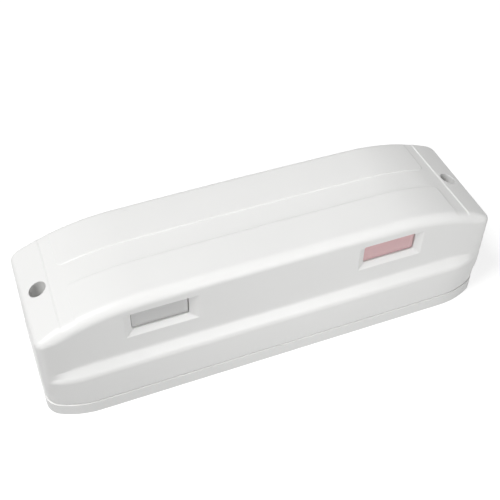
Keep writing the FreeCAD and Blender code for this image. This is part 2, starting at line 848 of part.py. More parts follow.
def centred_box(name, middle, front, size):
    """A box about (x, z) that starts at a Y place and goes back."""
    return box(name, (f"{middle[0]} - ({size[0]}) / 2", front, f"{middle[1]} - ({size[2]}) / 2"), size)


def make_holder(name, side, sensor_holes):
    x = window_x(side)
    middle = (x, WINDOW_LEVEL)
    block = centred_box(f"{name}_block", middle, HOLDER_FRONT,
                        ("holder_length", "holder_depth", "holder_height"))
    parts = [block]
    for number, sign in enumerate((-1, 1)):
        leg_x = f"{x} + {sign} * (holder_length - holder_wall) / 2 - holder_wall / 2"
        parts.append(box(f"{name}_leg_{number}", (leg_x, HOLDER_FRONT, BOARD_TOP),
                         ("holder_wall", "holder_depth", f"{HOLDER_BOTTOM} - {BOARD_TOP}")))
        foot_x = f"{x} + {sign} * {FOOT_REACH} - holder_foot / 2"
        parts.append(box(f"{name}_foot_{number}", (foot_x, f"{FOOT_Y} - holder_foot / 2", BOARD_TOP),
                         ("holder_foot", "holder_foot", "holder_foot_thickness")))
    lens_room = ("lens_length + 2 * lens_clearance", "lens_depth", "lens_height + 2 * lens_clearance")
    throat = ("lens_length - 2 * holder_wall", "holder_depth - holder_wall", "lens_height - 2 * holder_wall")
    holes = [
        centred_box(f"{name}_lens_room", middle, HOLDER_FRONT, lens_room),
        centred_box(f"{name}_throat", middle, HOLDER_FRONT, throat),
    ] + sensor_holes
    for number, sign in enumerate((-1, 1)):
        holes.append(cylinder(f"{name}_foot_hole_{number}", "screw_shank / 2 + slip_fit",
                              "holder_foot_thickness", (f"{x} + {sign} * {FOOT_REACH}", FOOT_Y, BOARD_TOP)))
    for number, (screw_x, screw_z) in enumerate(side_screw_places(side)):
        parts.append(cylinder(f"{name}_boss_{number}", "side_screw_boss / 2", "led_flange_thickness",
                              (screw_x, SIDE_BOARD_FRONT, screw_z), "-y"))
        holes.append(cylinder(f"{name}_pilot_{number}", "side_screw_shank / 2 + slip_fit", "side_screw",
                              (screw_x, SIDE_BOARD_FRONT, screw_z), "-y"))
    return cut(name, fuse(f"{name}_solid", parts), fuse(f"{name}_holes", holes))


def led_places():
    return [(f"({window_x('left')} + {offset})", WINDOW_LEVEL)
            for offset in spread(LEDS, "led_pitch")]


def photodiode_places():
    return [(f"({window_x('right')} + {offset})", WINDOW_LEVEL)
            for offset in spread(PHOTODIODES, "diode_pitch")]


def sensor_leads(name, x, z):
    """Two leads that go back through the upright board."""
    length = "board_thickness + lead_stub"
    back = f"({SIDE_BOARD_FRONT} + board_thickness + lead_stub)"
    return [cylinder(f"{name}_lead_{number}", "lead_diameter / 2", length, (f"{x} + {offset}", back, z), "-y")
            for number, offset in enumerate(spread(LEADS, "lead_spacing"))]


def make_leds():
    leds = []
    for number, (x, z) in enumerate(led_places()):
        name = f"infrared_led_{number}"
        straight = "(led_length - led_flange_thickness - led_diameter / 2)"
        dome_y = f"{HOLDER_BACK} - {straight}"
        leds.append(fuse(name, [
            cylinder(f"{name}_flange", "led_flange / 2", "led_flange_thickness",
                     (x, SIDE_BOARD_FRONT, z), "-y"),
            cylinder(f"{name}_barrel", "led_diameter / 2", straight, (x, HOLDER_BACK, z), "-y"),
            sphere(f"{name}_dome", "led_diameter / 2", (x, dome_y, z)),
        ] + sensor_leads(name, x, z)))
    return group("infrared_leds", leds)


def led_holes():
    return [cylinder(f"led_hole_{number}", "led_diameter / 2 + led_clearance", "2 * holder_wall",
                     (x, HOLDER_BACK, z), "-y") for number, (x, z) in enumerate(led_places())]


def make_photodiodes():
    diodes = []
    for number, (x, z) in enumerate(photodiode_places()):
        name = f"photodiode_{number}"
        chip = centred_box(f"{name}_chip", (x, z), f"{SIDE_BOARD_FRONT} - diode_thickness",
                           ("diode_width", "diode_thickness", "diode_width"))
        diodes.append(fuse(name, [chip] + sensor_leads(name, x, z)))
    return group("photodiodes", diodes)


def photodiode_holes():
    width = "diode_width + 2 * diode_clearance"
    return [centred_box(f"photodiode_hole_{number}", place_xz, f"{HOLDER_BACK} - 2 * holder_wall",
                        (width, "2 * holder_wall", width))
            for number, place_xz in enumerate(photodiode_places())]


def make_side_board(name, side, sensor_places):
    """An upright board behind the holder, with a narrower tab that plugs into its socket."""
    x = window_x(side)
    wide, narrow = "side_board_length / 2", "side_board_tab / 2"
    shoulder = f"({BOARD_TOP} + socket_height + slip_fit)"
    bottom = f"({BOARD_TOP} + side_board_rise)"
    outline = [
        (f"({x} - {narrow})", bottom), (f"({x} + {narrow})", bottom),
        (f"({x} + {narrow})", shoulder), (f"({x} + {wide})", shoulder),
        (f"({x} + {wide})", HOLDER_TOP), (f"({x} - {wide})", HOLDER_TOP),
        (f"({x} - {wide})", shoulder), (f"({x} - {narrow})", shoulder),
    ]
    board = facing_slab(f"{name}_blank", outline, SIDE_BOARD_FRONT, "board_thickness")
    back = f"({SIDE_BOARD_FRONT} + board_thickness)"
    holes = []
    for number, (sensor_x, z) in enumerate(sensor_places):
        for lead, offset in enumerate(spread(LEADS, "lead_spacing")):
            holes.append(cylinder(f"{name}_lead_hole_{number}_{lead}", "lead_diameter / 2 + lead_clearance",
                                  "board_thickness", (f"{sensor_x} + {offset}", back, z), "-y"))
    for number, (screw_x, z) in enumerate(side_screw_places(side)):
        holes.append(cylinder(f"{name}_screw_hole_{number}", "side_screw_shank / 2 + slip_fit",
                              "board_thickness", (screw_x, back, z), "-y"))
    return cut(name, board, fuse(f"{name}_holes", holes))


def make_sockets():
    sockets = []
    middle_y = f"({SIDE_BOARD_FRONT} + board_thickness / 2)"
    for side in SIDES:
        x = window_x(side)
        name = f"board_socket_{side}"
        block = box(f"{name}_block", (f"{x} - socket_length / 2", f"{middle_y} - socket_width / 2", BOARD_TOP),
                    ("socket_length", "socket_width", "socket_height"))
        slot = box(f"{name}_slot",
                   (f"{x} - side_board_tab / 2 - slip_fit", f"{SIDE_BOARD_FRONT} - slip_fit",
                    f"{BOARD_TOP} + side_board_rise"),
                   ("side_board_tab + 2 * slip_fit", "board_thickness + 2 * slip_fit", "socket_height"))
        pins = legs(name, [(f"({x} + {offset})", middle_y) for offset in spread(SOCKET_LEADS, "socket_pitch")])
        sockets.append(fuse(name, [cut(f"{name}_slotted", block, slot)] + pins))
    return group("board_sockets", sockets)


# Terminal block

def terminal_places():
    return spread(TERMINALS, "terminal_pitch")


TERMINAL_FRONT = f"({BOARD_BACK} - terminal_depth)"
TERMINAL_Y = f"({BOARD_BACK} - terminal_mouth_depth / 2)"
TERMINAL_SHELF = f"({BOARD_TOP} + terminal_floor + terminal_mouth_height)"


def make_terminal_block():
    half = f"({TERMINALS} * terminal_pitch / 2)"
    block = box("terminal_housing", (f"-{half}", TERMINAL_FRONT, BOARD_TOP),
                (f"{TERMINALS} * terminal_pitch", "terminal_depth", "terminal_height"))
    holes = []
    for number, x in enumerate(terminal_places()):
        holes.append(box(f"terminal_mouth_{number}",
                         (f"{x} - terminal_mouth / 2", f"{BOARD_BACK} - terminal_mouth_depth",
                          f"{BOARD_TOP} + terminal_floor"),
                         ("terminal_mouth", "terminal_mouth_depth", "terminal_mouth_height")))
        holes.append(cylinder(f"terminal_well_{number}", "terminal_screw / 2 + slip_fit", "terminal_height",
                              (x, TERMINAL_Y, TERMINAL_SHELF)))
    pins = legs("terminal", [(x, TERMINAL_Y) for x in terminal_places()])
    return fuse("terminal_block", [cut("terminal_hollowed", block, fuse("terminal_holes", holes))] + pins)


def make_terminal_clamps():
    clamps = []
    for number, x in enumerate(terminal_places()):
        left, front = f"{x} - terminal_clamp / 2", f"{TERMINAL_Y} - terminal_clamp_length / 2"
        bottom = f"{BOARD_TOP} + terminal_floor"
        cage = box(f"terminal_cage_{number}", (left, front, bottom),
                   ("terminal_clamp", "terminal_clamp_length", "terminal_mouth_height"))
        opening = box(f"terminal_cage_opening_{number}",
                      (f"{left} + terminal_clamp_wall", front, f"{bottom} + terminal_clamp_wall"),
                      ("terminal_clamp - 2 * terminal_clamp_wall", "terminal_clamp_length",
                       "terminal_mouth_height - 2 * terminal_clamp_wall"))
        clamps.append(cut(f"terminal_clamp_{number}", cage, opening))
    return group("terminal_clamps", clamps)


def make_terminal_screws():
    screws = []
    for number, x in enumerate(terminal_places()):
        shank = cylinder(f"terminal_screw_body_{number}", "terminal_screw / 2", "terminal_screw_height",
                         (x, TERMINAL_Y, TERMINAL_SHELF))
        slot = box(f"terminal_screw_slot_{number}",
                   (f"{x} - terminal_screw / 2", f"{TERMINAL_Y} - screw_slot / 2",
                    f"{TERMINAL_SHELF} + terminal_screw_height - screw_slot_depth"),
                   ("terminal_screw", "screw_slot", "screw_slot_depth"))
        screws.append(cut(f"terminal_screw_{number}", shank, slot))
    return group("terminal_screws", screws)


# Main board and what it carries

def make_relay():
    x, y = "-relay_place", PART_ROW_Y
    case = box("relay_case", (f"{x} - relay_length / 2", f"{y} - relay_width / 2", BOARD_TOP),
               ("relay_length", "relay_width", "relay_height"))
    half = "relay_pin_spacing / 2"
    corners = [(f"({x} + {i} * {half})", f"({y} + {j} * {half})") for i in (-1, 1) for j in (-1, 1)]
    places = corners + [(f"({x} + {half})", y)]
    return fuse("relay", [case] + legs("relay", places))


def capacitor(name, x, y, diameter, height):
    can = cylinder(f"{name}_can", f"{diameter} / 2", height, (x, y, BOARD_TOP))
    places = [(f"({x} + {offset})", y) for offset in spread(LEADS, "lead_spacing")]
    return fuse(name, [can] + legs(name, places))


def make_small_capacitors():
    cans = [capacitor(f"small_capacitor_{number}", f"(small_capacitor_place + {offset})", PART_ROW_Y,
                      "small_capacitor", "small_capacitor_height")
            for number, offset in enumerate(spread(SMALL_CAPACITORS, "small_capacitor_pitch"))]
    return group("small_capacitors", cans)


def make_choke():
    x, y = "-choke_place", PART_ROW_Y
    upper = f"{BOARD_TOP} + choke_height - choke_rim"
    discs = [cylinder("choke_bottom", "choke_flange / 2", "choke_rim", (x, y, BOARD_TOP)),
             cylinder("choke_top", "choke_flange / 2", "choke_rim", (x, y, upper)),
             cylinder("choke_post", "choke_core / 2", "choke_height", (x, y, BOARD_TOP))]
    places = [(f"({x} + {offset})", y) for offset in spread(LEADS, "lead_spacing")]
    core = fuse("choke_core", discs + legs("choke", places))
    coil = cylinder("choke_coil", "choke_winding / 2", "choke_height - 2 * choke_rim",
                    (x, y, f"{BOARD_TOP} + choke_rim"))
    hole = cylinder("choke_coil_hole", "choke_core / 2 + slip_fit", "choke_height", (x, y, BOARD_TOP))
    return core, cut("choke_winding", coil, hole)


def make_regulator():
    x, y = "regulator_place", PART_ROW_Y
    left, foot = f"{x} - regulator_width / 2", f"({BOARD_TOP} + regulator_stand)"
    case = box("regulator_case", (left, y, foot),
               ("regulator_width", "regulator_thickness", "regulator_height"))
    tab = box("regulator_tab_plate", (left, f"{y} + regulator_thickness - regulator_tab", foot),
              ("regulator_width", "regulator_tab", "regulator_tab_height"))
    middle_y = f"({y} + regulator_thickness / 2)"
    places = [(f"({x} + {offset})", middle_y) for offset in spread(REGULATOR_LEADS, "regulator_pitch")]
    stands = [cylinder(f"regulator_stand_{number}", "lead_diameter / 2", "regulator_stand",
                       (px, py, BOARD_TOP)) for number, (px, py) in enumerate(places)]
    return fuse("voltage_regulator", [case, tab] + stands + legs("regulator", places))


def chip(name, x, y, length, width, leads, pitch, all_round):
    """A flat package on short leads along two or all four sides."""
    left, front = f"{x} - {length} / 2", f"{y} - {width} / 2"
    parts = [box(f"{name}_case", (left, front, f"{BOARD_TOP} + chip_lead_thickness / 2"),
                 (length, width, "chip_thickness"))]
    for number, offset in enumerate(spread(leads, pitch)):
        parts.append(box(f"{name}_lead_across_{number}",
                         (f"{x} + {offset} - chip_lead_width / 2", f"{front} - chip_lead", BOARD_TOP),
                         ("chip_lead_width", f"{width} + 2 * chip_lead", "chip_lead_thickness")))
        if all_round:
            parts.append(box(f"{name}_lead_along_{number}",
                             (f"{left} - chip_lead", f"{y} + {offset} - chip_lead_width / 2", BOARD_TOP),
                             (f"{length} + 2 * chip_lead", "chip_lead_width", "chip_lead_thickness")))
    return fuse(name, parts)


def make_controller():
    y = f"({BOARD_FRONT} + board_depth / 2 - chip_shift)"
    return chip("controller_chip", "0", y, "chip_width", "chip_width", CHIP_LEADS, "chip_lead_pitch", True)


def make_amplifiers():
    y = f"({BOARD_FRONT} + board_depth / 2 - chip_shift)"
    return group("amplifier_chips", [
        chip(f"amplifier_{side}", f"({sign} * amplifier_place)", y, "amplifier_length", "amplifier_width",
             AMPLIFIER_LEADS, "amplifier_pitch", False) for side, sign in SIDES.items()])


def make_crystal():
    y = f"({BOARD_FRONT} + board_depth - crystal_shift)"
    case = slab("crystal_case", "XY_Plane",
                rectangle("(-crystal_length / 2)", f"({y} - crystal_width / 2)", "(crystal_length / 2)",
                          f"({y} + crystal_width / 2)", "crystal_corner"), BOARD_TOP, "crystal_height")
    places = [(offset, y) for offset in spread(LEADS, "crystal_pin_spacing")]
    return fuse("crystal", [case] + legs("crystal", places))


def make_rectifiers():
    diodes = []
    for number, offset in enumerate(spread(RECTIFIER_DIODES, "diode_row_pitch")):
        name = f"rectifier_{number}"
        x, y = "-diode_row_place", f"({PART_ROW_Y} + {offset} - diode_row_pitch)"
        axis = f"({BOARD_TOP} + diode_stand + diode_body / 2)"
        ends = [(f"({x} + {end})", y) for end in spread(LEADS, "diode_reach")]
        parts = [
            cylinder(f"{name}_body", "diode_body / 2", "diode_length",
                     (f"{x} - diode_length / 2", y, axis), "x"),
            cylinder(f"{name}_wire", "lead_diameter / 2", "diode_reach", (ends[0][0], y, axis), "x"),
        ]
        for end, (px, py) in enumerate(ends):
            parts.append(sphere(f"{name}_elbow_{end}", "lead_diameter / 2", (px, py, axis)))
            parts.append(cylinder(f"{name}_upright_{end}", "lead_diameter / 2", "diode_stand + diode_body / 2",
                                  (px, py, BOARD_TOP)))
        diodes.append(fuse(name, parts + legs(name, ends)))
    return group("rectifier_diodes", diodes)


def make_main_board(screw_places):
    blank = slab("main_board_blank", "XY_Plane",
                 rectangle(f"(-{BOARD_HALF})", BOARD_FRONT, BOARD_HALF, BOARD_BACK, "board_corner"),
                 "board_seat", "board_thickness")
    holes = [cylinder(f"main_board_screw_hole_{number}", "screw_shank / 2 + slip_fit", "board_thickness",
                      (x, y, "board_seat")) for number, (x, y) in enumerate(screw_places)]
    holes += [cylinder(f"main_board_lead_hole_{number}", "lead_diameter / 2 + lead_clearance",
                       "board_thickness", (x, y, "board_seat")) for number, (x, y) in enumerate(leg_places)]
    return cut("main_board", blank, fuse("main_board_holes", holes))


# The whole detector

screws_through_board = holder_screw_places() + board_screw_places()
cover_seal = ring("cover_seal", SEAL_INSET, "seal_width", "base_height - seal_groove",
                  "seal_groove + parting_gap")
choke_core, choke_winding = make_choke()
pieces = [
    make_cover(),
    make_base_plate(cover_seal, screws_through_board),
    cover_seal,
    make_grommet(),
    make_window("grey_window", "left"),
    make_window("red_window", "right"),
    make_window_seals(),
    make_lens("emitter_lens", "left"),
    make_lens("receiver_lens", "right"),
    make_holder("emitter_holder", "left", led_holes()),
    make_holder("receiver_holder", "right", photodiode_holes()),
    make_leds(),
    make_photodiodes(),
    make_side_board("emitter_board", "left", led_places()),
    make_side_board("receiver_board", "right", photodiode_places()),
    make_sockets(),
    make_optics_screws(),
    make_holder_screws(),
    make_board_screws(),
    make_terminal_block(),
    make_terminal_clamps(),
    make_terminal_screws(),
    make_relay(),
    capacitor("big_capacitor", "big_capacitor_place", PART_ROW_Y, "big_capacitor", "big_capacitor_height"),
    make_small_capacitors(),
    choke_core,
    choke_winding,
    make_regulator(),
    make_rectifiers(),
    make_controller(),
    make_amplifiers(),
    make_crystal(),
    make_main_board(screws_through_board),
]
doc.recompute()

for thing in doc.Objects:
    if "Invalid" in thing.State or "Error" in thing.State:
        raise RuntimeError(f"{thing.Label} failed: {thing.State}")
for piece in pieces:
    if piece.Shape.isNull() or not piece.Shape.isValid():
        raise RuntimeError(f"{piece.Label} has no valid shape")

os.makedirs("parts", exist_ok=True)
for piece in pieces:
    piece.Shape.exportStep(f"parts/{piece.Label}.step")
    print(f"{piece.Label}: {len(piece.Shape.Solids)} solid(s), {piece.Shape.Volume / 1000:.3f} cm3")
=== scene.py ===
import json
import math
import bmesh
import bpy
from mathutils import Matrix, Vector
from mathutils.geometry import delaunay_2d_cdt


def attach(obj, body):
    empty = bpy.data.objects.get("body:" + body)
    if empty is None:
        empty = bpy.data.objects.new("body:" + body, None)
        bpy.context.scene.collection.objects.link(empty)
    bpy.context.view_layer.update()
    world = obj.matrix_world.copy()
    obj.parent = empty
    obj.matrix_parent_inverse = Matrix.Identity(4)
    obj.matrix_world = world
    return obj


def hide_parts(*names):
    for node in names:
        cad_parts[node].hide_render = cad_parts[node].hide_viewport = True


# Curtain motion detector in its own frame, in metres. The housing lies on its flat back, windows to -Y.

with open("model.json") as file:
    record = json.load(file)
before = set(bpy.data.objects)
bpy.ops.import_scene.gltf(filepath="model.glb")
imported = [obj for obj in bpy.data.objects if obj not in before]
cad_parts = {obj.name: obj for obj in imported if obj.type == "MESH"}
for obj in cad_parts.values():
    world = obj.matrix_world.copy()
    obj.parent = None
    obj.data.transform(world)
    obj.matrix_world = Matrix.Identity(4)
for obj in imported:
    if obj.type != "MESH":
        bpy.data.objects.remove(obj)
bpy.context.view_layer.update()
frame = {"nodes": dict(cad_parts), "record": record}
MM = 0.001


# Materials

# Plastic: slow drifts of tone and gloss, and a fine grain. Scales count the waves in a metre.
TONE_DRIFT, TONE_SCALE = 0.02, 18.0
GLOSS_DRIFT, GLOSS_SCALE = 0.03, 60.0
GRAIN_SCALE, GRAIN_DEPTH, GRAIN_SHARPNESS = 1600.0, 0.00001, 0.6
PANE_GRAIN = {"grain": 500.0, "depth": 0.000004}

# Part of the noise's range that a ramp spreads out
RAMP_ENDS = (0.3, 0.7)

# Metal: a fine mottle of tone, and scuffs in the gloss
METAL_SHADE, METAL_TONE_SCALE = 0.85, 400.0
METAL_POLISH, METAL_WEAR, METAL_GLOSS_SCALE = 0.05, 0.08, 900.0


def new_material(name):
    """A material with its Principled shader and its node tree."""
    material = bpy.data.materials.new(name)
    material.use_nodes = True
    shader = material.node_tree.nodes["Principled BSDF"]
    return material, shader, material.node_tree


def noise(tree, scale, detail=4.0, roughness=0.5):
    """Noise laid over the object in metres."""
    place = tree.nodes.new("ShaderNodeTexCoord")
    texture = tree.nodes.new("ShaderNodeTexNoise")
    texture.inputs["Scale"].default_value = scale
    texture.inputs["Detail"].default_value = detail
    texture.inputs["Roughness"].default_value = roughness
    tree.links.new(place.outputs["Object"], texture.inputs["Vector"])
    return texture.outputs["Fac"]


def ramp(tree, source, low, high):
    """Spreads a 0 to 1 value between two colours."""
    node = tree.nodes.new("ShaderNodeValToRGB")
    for element, place, colour in zip(node.color_ramp.elements, RAMP_ENDS, (low, high)):
        element.position = place
        element.color = (*colour, 1.0)
    tree.links.new(source, node.inputs["Fac"])
    return node.outputs["Color"]


def bump(tree, shader, source, depth):
    """Raises the surface with a 0 to 1 value, up to a depth in metres."""
    node = tree.nodes.new("ShaderNodeBump")
    node.inputs["Strength"].default_value = 1.0
    node.inputs["Distance"].default_value = depth
    tree.links.new(source, node.inputs["Height"])
    tree.links.new(node.outputs["Normal"], shader.inputs["Normal"])


def grey(level):
    return (level, level, level)


def plastic(name, colour, roughness, specular=0.5, grain=GRAIN_SCALE, depth=GRAIN_DEPTH):
    """Moulded plastic: a fine grain, and slow drifts of tone and gloss."""
    material, shader, tree = new_material(name)
    shade = tuple(channel * (1.0 - TONE_DRIFT) for channel in colour)
    tone = ramp(tree, noise(tree, TONE_SCALE, detail=2.0), shade, colour)
    tree.links.new(tone, shader.inputs["Base Color"])
    levels = grey(roughness - GLOSS_DRIFT), grey(roughness + GLOSS_DRIFT)
    tree.links.new(ramp(tree, noise(tree, GLOSS_SCALE, detail=3.0), *levels), shader.inputs["Roughness"])
    shader.inputs["Specular IOR Level"].default_value = specular
    bump(tree, shader, noise(tree, grain, detail=3.0, roughness=GRAIN_SHARPNESS), depth)
    return material


def metal(name, colour, roughness):
    """Plain metal with a mottled tone and a scuffed gloss."""
    material, shader, tree = new_material(name)
    shader.inputs["Metallic"].default_value = 1.0
    shade = tuple(channel * METAL_SHADE for channel in colour)
    tree.links.new(ramp(tree, noise(tree, METAL_TONE_SCALE), shade, colour), shader.inputs["Base Color"])
    levels = grey(roughness - METAL_POLISH), grey(roughness + METAL_WEAR)
    tree.links.new(ramp(tree, noise(tree, METAL_GLOSS_SCALE), *levels), shader.inputs["Roughness"])
    return material


# Material of each slot: its colour and roughness
MATERIALS = {
    "housing": plastic("housing_white", (0.80, 0.80, 0.79), 0.36, specular=0.3),
    "back_plate": plastic("back_plate_white", (0.79, 0.79, 0.78), 0.40, specular=0.3),
    "grey_pane": plastic("grey_pane", (0.595, 0.595, 0.59), 0.16, **PANE_GRAIN),
    "red_pane": plastic("red_pane", (0.665, 0.425, 0.437), 0.16, **PANE_GRAIN),
    "seal": plastic("seal_black", (0.02, 0.02, 0.02), 0.8),
    "grommet": plastic("grommet_black", (0.03, 0.03, 0.03), 0.6),
    "lens": plastic("lens_clear", (0.75, 0.76, 0.75), 0.1),
    "optics_holder": plastic("optics_black", (0.02, 0.02, 0.02), 0.6),
    "circuit_board": plastic("board_green", (0.02, 0.13, 0.05), 0.35),
    "led_body": plastic("led_dark", (0.03, 0.02, 0.04), 0.15),
    "photodiode_body": plastic("photodiode_black", (0.02, 0.02, 0.02), 0.2),
    "socket": plastic("socket_nylon", (0.72, 0.70, 0.62), 0.4),
    "screw": metal("screw_zinc", (0.62, 0.62, 0.62), 0.3),
    "terminal_housing": plastic("terminal_green", (0.03, 0.20, 0.08), 0.4),
    "terminal_metal": metal("terminal_brass", (0.70, 0.62, 0.42), 0.3),
    "relay_case": plastic("relay_blue", (0.02, 0.03, 0.10), 0.3),
    "capacitor_can": plastic("capacitor_sleeve", (0.03, 0.03, 0.04), 0.3),
    "ferrite": plastic("ferrite_grey", (0.04, 0.04, 0.045), 0.5),
    "copper": metal("copper_wire", (0.72, 0.32, 0.14), 0.3),
    "regulator_case": plastic("regulator_black", (0.02, 0.02, 0.02), 0.4),
    "chip_case": plastic("chip_black", (0.02, 0.02, 0.02), 0.4),
    "crystal_can": metal("crystal_nickel", (0.66, 0.66, 0.65), 0.2),
}


def dress_nodes():
    """Gives each carried node the material of its slot."""
    slots = {part["node"]: part["material_slot"] for part in frame["record"]["subparts"]}
    for name, node in frame["nodes"].items():
        node.data.materials.clear()
        node.data.materials.append(MATERIALS[slots[name]])


# Sizes of the housing, in millimetres

LENGTH = 242.0
DEPTH = 70.3
HEIGHT = 68.39
DRAFT = math.radians(1.1)
SETBACK = 0.25
PARTING = 8.3

# Crown, with a shoulder at each end
CROWN = 4130.0
SHOULDER = 121.0
SHOULDER_START = LENGTH / 2 - 55.2
APEX_RISE = math.sqrt(CROWN ** 2 - SHOULDER_START ** 2)
SHOULDER_X = SHOULDER_START * (CROWN - SHOULDER) / CROWN
SHOULDER_Z = HEIGHT - CROWN + APEX_RISE * (CROWN - SHOULDER) / CROWN

# Plan above the shelf: a straight front that sweeps back to the ends
SWEEP = 42.6
SWEEP_START = LENGTH / 2 - 9.0
FRONT_CORNER, BACK_CORNER, LEAST_CORNER = 5.4, 6.9, 0.8

# Plan under the shelf: the sweep starts sooner, and fills out by the gains on the way up to the shelf.
# It lies inside the plan above by the pull at most, which fades with height, and joins it softly.
LOW_SWEEP_START = LENGTH / 2 - 24.7
LOW_SWEEP_GAIN = 3.6
LOW_CORNER = 9.5
LOW_CORNER_GAIN = 2.5
PULL, PULL_FADE = 4.5, 2.8
SOFT_JOIN, SOFT_END = 1.5, 0.01
SEARCH_REACH, SEARCH_STEPS = 7.0, 26

# Shelf across the front, and the upright wall over it
SHELF_LOW, SHELF_HIGH, SHELF_RECESS = 27.0, 33.4, 3.7
SHELF_EDGE, SHELF_FOOT = 7.0, 8.0
SHELF_STEPS = 6
FRONT_INSET = SETBACK + SHELF_HIGH * math.tan(DRAFT)
UPPER_WALL_Y = -DEPTH / 2 + SHELF_RECESS + FRONT_INSET

# Rim between the walls and the crown. It rolls along the long walls as far as the steady place.
RIM, FRONT_RIM = 3.6, 5.2
RIM_STEPS = 10
STEADY = 108.6
ROLL_TRIES = 12

# Raised panels of the top, with the channel between them and a strip before each end cap
PANEL_HALF = LENGTH / 2 - 21.4
PANEL_CORNER = 3.5
PANEL_CORNER_STEPS = 8
CHANNEL_FRONT, CHANNEL_BACK = -5.15, 8.35
CAP_FRONT, CAP_BACK = LENGTH / 2 - 14.4, LENGTH / 2 - 16.0
CAP_SLANT_START, CAP_SLANT_RUN = -27.0, 54.0
TOP_FRONT, TOP_BACK = -24.5, 28.5

# Depths of the channel at its front, back and ends, and of the strips
CHANNEL_FRONT_DROP, CHANNEL_BACK_DROP, CHANNEL_END_DROP = 0.75, 0.5, 0.2
STRIP_DROP = 0.42

# Where those depths fade: the start and the run of each, along x and from the front or the back along y
CHANNEL_FADE = (80.0, 15.0)
STRIP_FADE = (98.0, 4.0)
FRONT_FADE = (-30.0, 4.0)
BACK_FADE = (-34.0, 3.0)

# Widths of the rounded steps, and the lines of points that draw them
FRONT_EDGE, CAP_EDGE, RISER = 1.1, 1.3, 0.36
FRONT_LINES = tuple(FRONT_EDGE * (share - 1) for share in (0.0, 0.3, 0.55, 0.75, 0.9, 1.0))
RISER_LINES = tuple(RISER * share for share in (-1.0, -0.6, -0.22, 0.22, 0.6, 1.0))
CAP_LINES = tuple(CAP_EDGE * (share - 0.5) for share in (0.0, 0.17, 0.34, 0.5, 0.66, 0.83, 1.0))

# Columns of points round the walls
COARSE_STEP, FINE_STEP = 3.0, 1.2
COARSE_END, BEFORE_PANEL, AFTER_PANEL = 96.0, 97.4, 100.6
BEFORE_CAP, AFTER_CAP = 0.8, 1.3
TURN_COLUMNS, CORNER_COLUMNS, END_COLUMNS, BACK_COLUMNS = 12, 10, 16, 3

# Rows of points up the walls. The foot's have a level and an inset, which make the seam's groove, and the
# upper wall's are shares of its height.
FOOT_ROWS = [(7.3, 2.2), (7.3, 0.4), (PARTING, 0.4), (PARTING, 0.3)]
FOOT_EDGE, FOOT_EDGE_STEPS = 0.3, 3
LOW_WALL_LEVELS = (9.2, 10.4, 12.0, 14.0, 16.5, 19.0, 21.5)
WALL_START = 0.6
WALL_SHARES = (0.0, 0.11, 0.22, 0.42, 0.60, 0.78, 0.985)

# Wells of the fixing screws
WELL_X, WELL_Y, WELL_RADIUS = 111.4, 1.6, 4.25
WELL_MOUTH = 0.2
WELL_SEAT, WELL_END = 13.2, 10.4
SCREW_HOLE = 2.25
WELL_SIDES = 48
WELL_TURNS = [2 * math.pi * i / WELL_SIDES for i in range(WELL_SIDES)]
MOUTH_RADIUS = WELL_RADIUS + WELL_MOUTH
MOUTH_BORDER, MOUTH_CLEAR = 0.2, 0.7
MOUTH_ANGLES = (math.pi / 6, math.pi / 3, math.pi / 2)
WELL_SHARES = (0.25, 0.5, 0.75, 1.0)

# Loose points on the top that keep its triangles small, clear of the steps, the wells and the corners
GRID_X, GRID_X_STEP = 114.0, 3.0
GRID_FRONT, GRID_BACK, GRID_Y_STEP = -24.0, 27.6, 4.3
STEP_CLEAR = 1.5
CORNER_X, CORNER_FRONT, CORNER_BACK = 110.0, -20.0, 24.0

# Windows: the middle of the left and of the right one, their openings, and the columns and rows of points
# at which the gap for them in the upper front wall starts and ends
WINDOWS = {-1: -60.3, 1: 61.0}
WINDOW_Z = 52.3
OPENING_HALF = (14.3, 5.5)
OPENING_CORNER, OUTER_CORNER_LESS = 1.2, 0.6
OPENING_DEPTHS = (3.55, 5.3)
GAP_COLUMNS = (39.0, 81.0)
GAP_ROWS = (2, 6)

# Bevels round the windows: widths at the left and right of each window, below and above, and the depth
BEVEL_SIDES = {-1: (3.5, 4.5), 1: (3.5, 3.6)}
BEVEL_LOW, BEVEL_TOP = 3.05, 2.0
BEVEL_DEPTH = 1.9
EDGE_OUT, EDGE_IN = 0.08, 0.10
BEVEL_FOOT, BEVEL_FOOT_DROP = 0.07, 0.15
QUARTERS = (0.0, 0.25, 0.5, 0.75, 1.0)

# Panes: half size, place in the opening, and the inset and depth of each step from the face to the flange
PANE_HALF = (14.05, 5.25)
PANE_SHIFT = (-0.02, 0.04)
PANE_SINK = 0.35
PANE_CORNER, PANE_LEAST_CORNER = 1.0, 0.2
PANE_BORDER = [(2.6, 0.0), (1.75, 0.0), (1.6, 0.08), (0.5, 0.22)]
PANE_EDGE, PANE_EDGE_START = 0.5, 0.22
PANE_EDGE_ANGLES = (0.4, 0.8, 1.2, math.pi / 2)
PANE_FLANGE = [(0.0, 3.66), (-2.4, 3.66), (-2.4, 5.15)]

# Skin of the cover, thinner round the wells, and the angle from which an edge is sharp
SKIN, WELL_SKIN = 1.6, 0.3
WELL_SKIN_REACH = 0.3
SHARP = math.radians(42)

# What the triangulation keeps: triangles inside the given edges, and points further apart than the merge
INSIDE_EDGES = 1
MERGE = 1e-7


# Forms of the housing

def clamp(share):
    return min(max(share, 0.0), 1.0)


def smooth_step(share):
    share = clamp(share)
    return share * share * (3 - 2 * share)


def fade(value, span):
    """0 before a span's start, and 1 after its run."""
    start, run = span
    return smooth_step((value - start) / run)


def mix(low, high, share):
    return low + (high - low) * share


def spaced(first, last, step):
    """Numbers from first to last, about a step apart, both ends included."""
    count = max(1, round(abs(last - first) / step))
    return [first + (last - first) * i / count for i in range(count + 1)]


def heading(turn):
    """Outward direction in plan, turned from the front towards the right end."""
    return Vector((math.sin(turn), -math.cos(turn)))


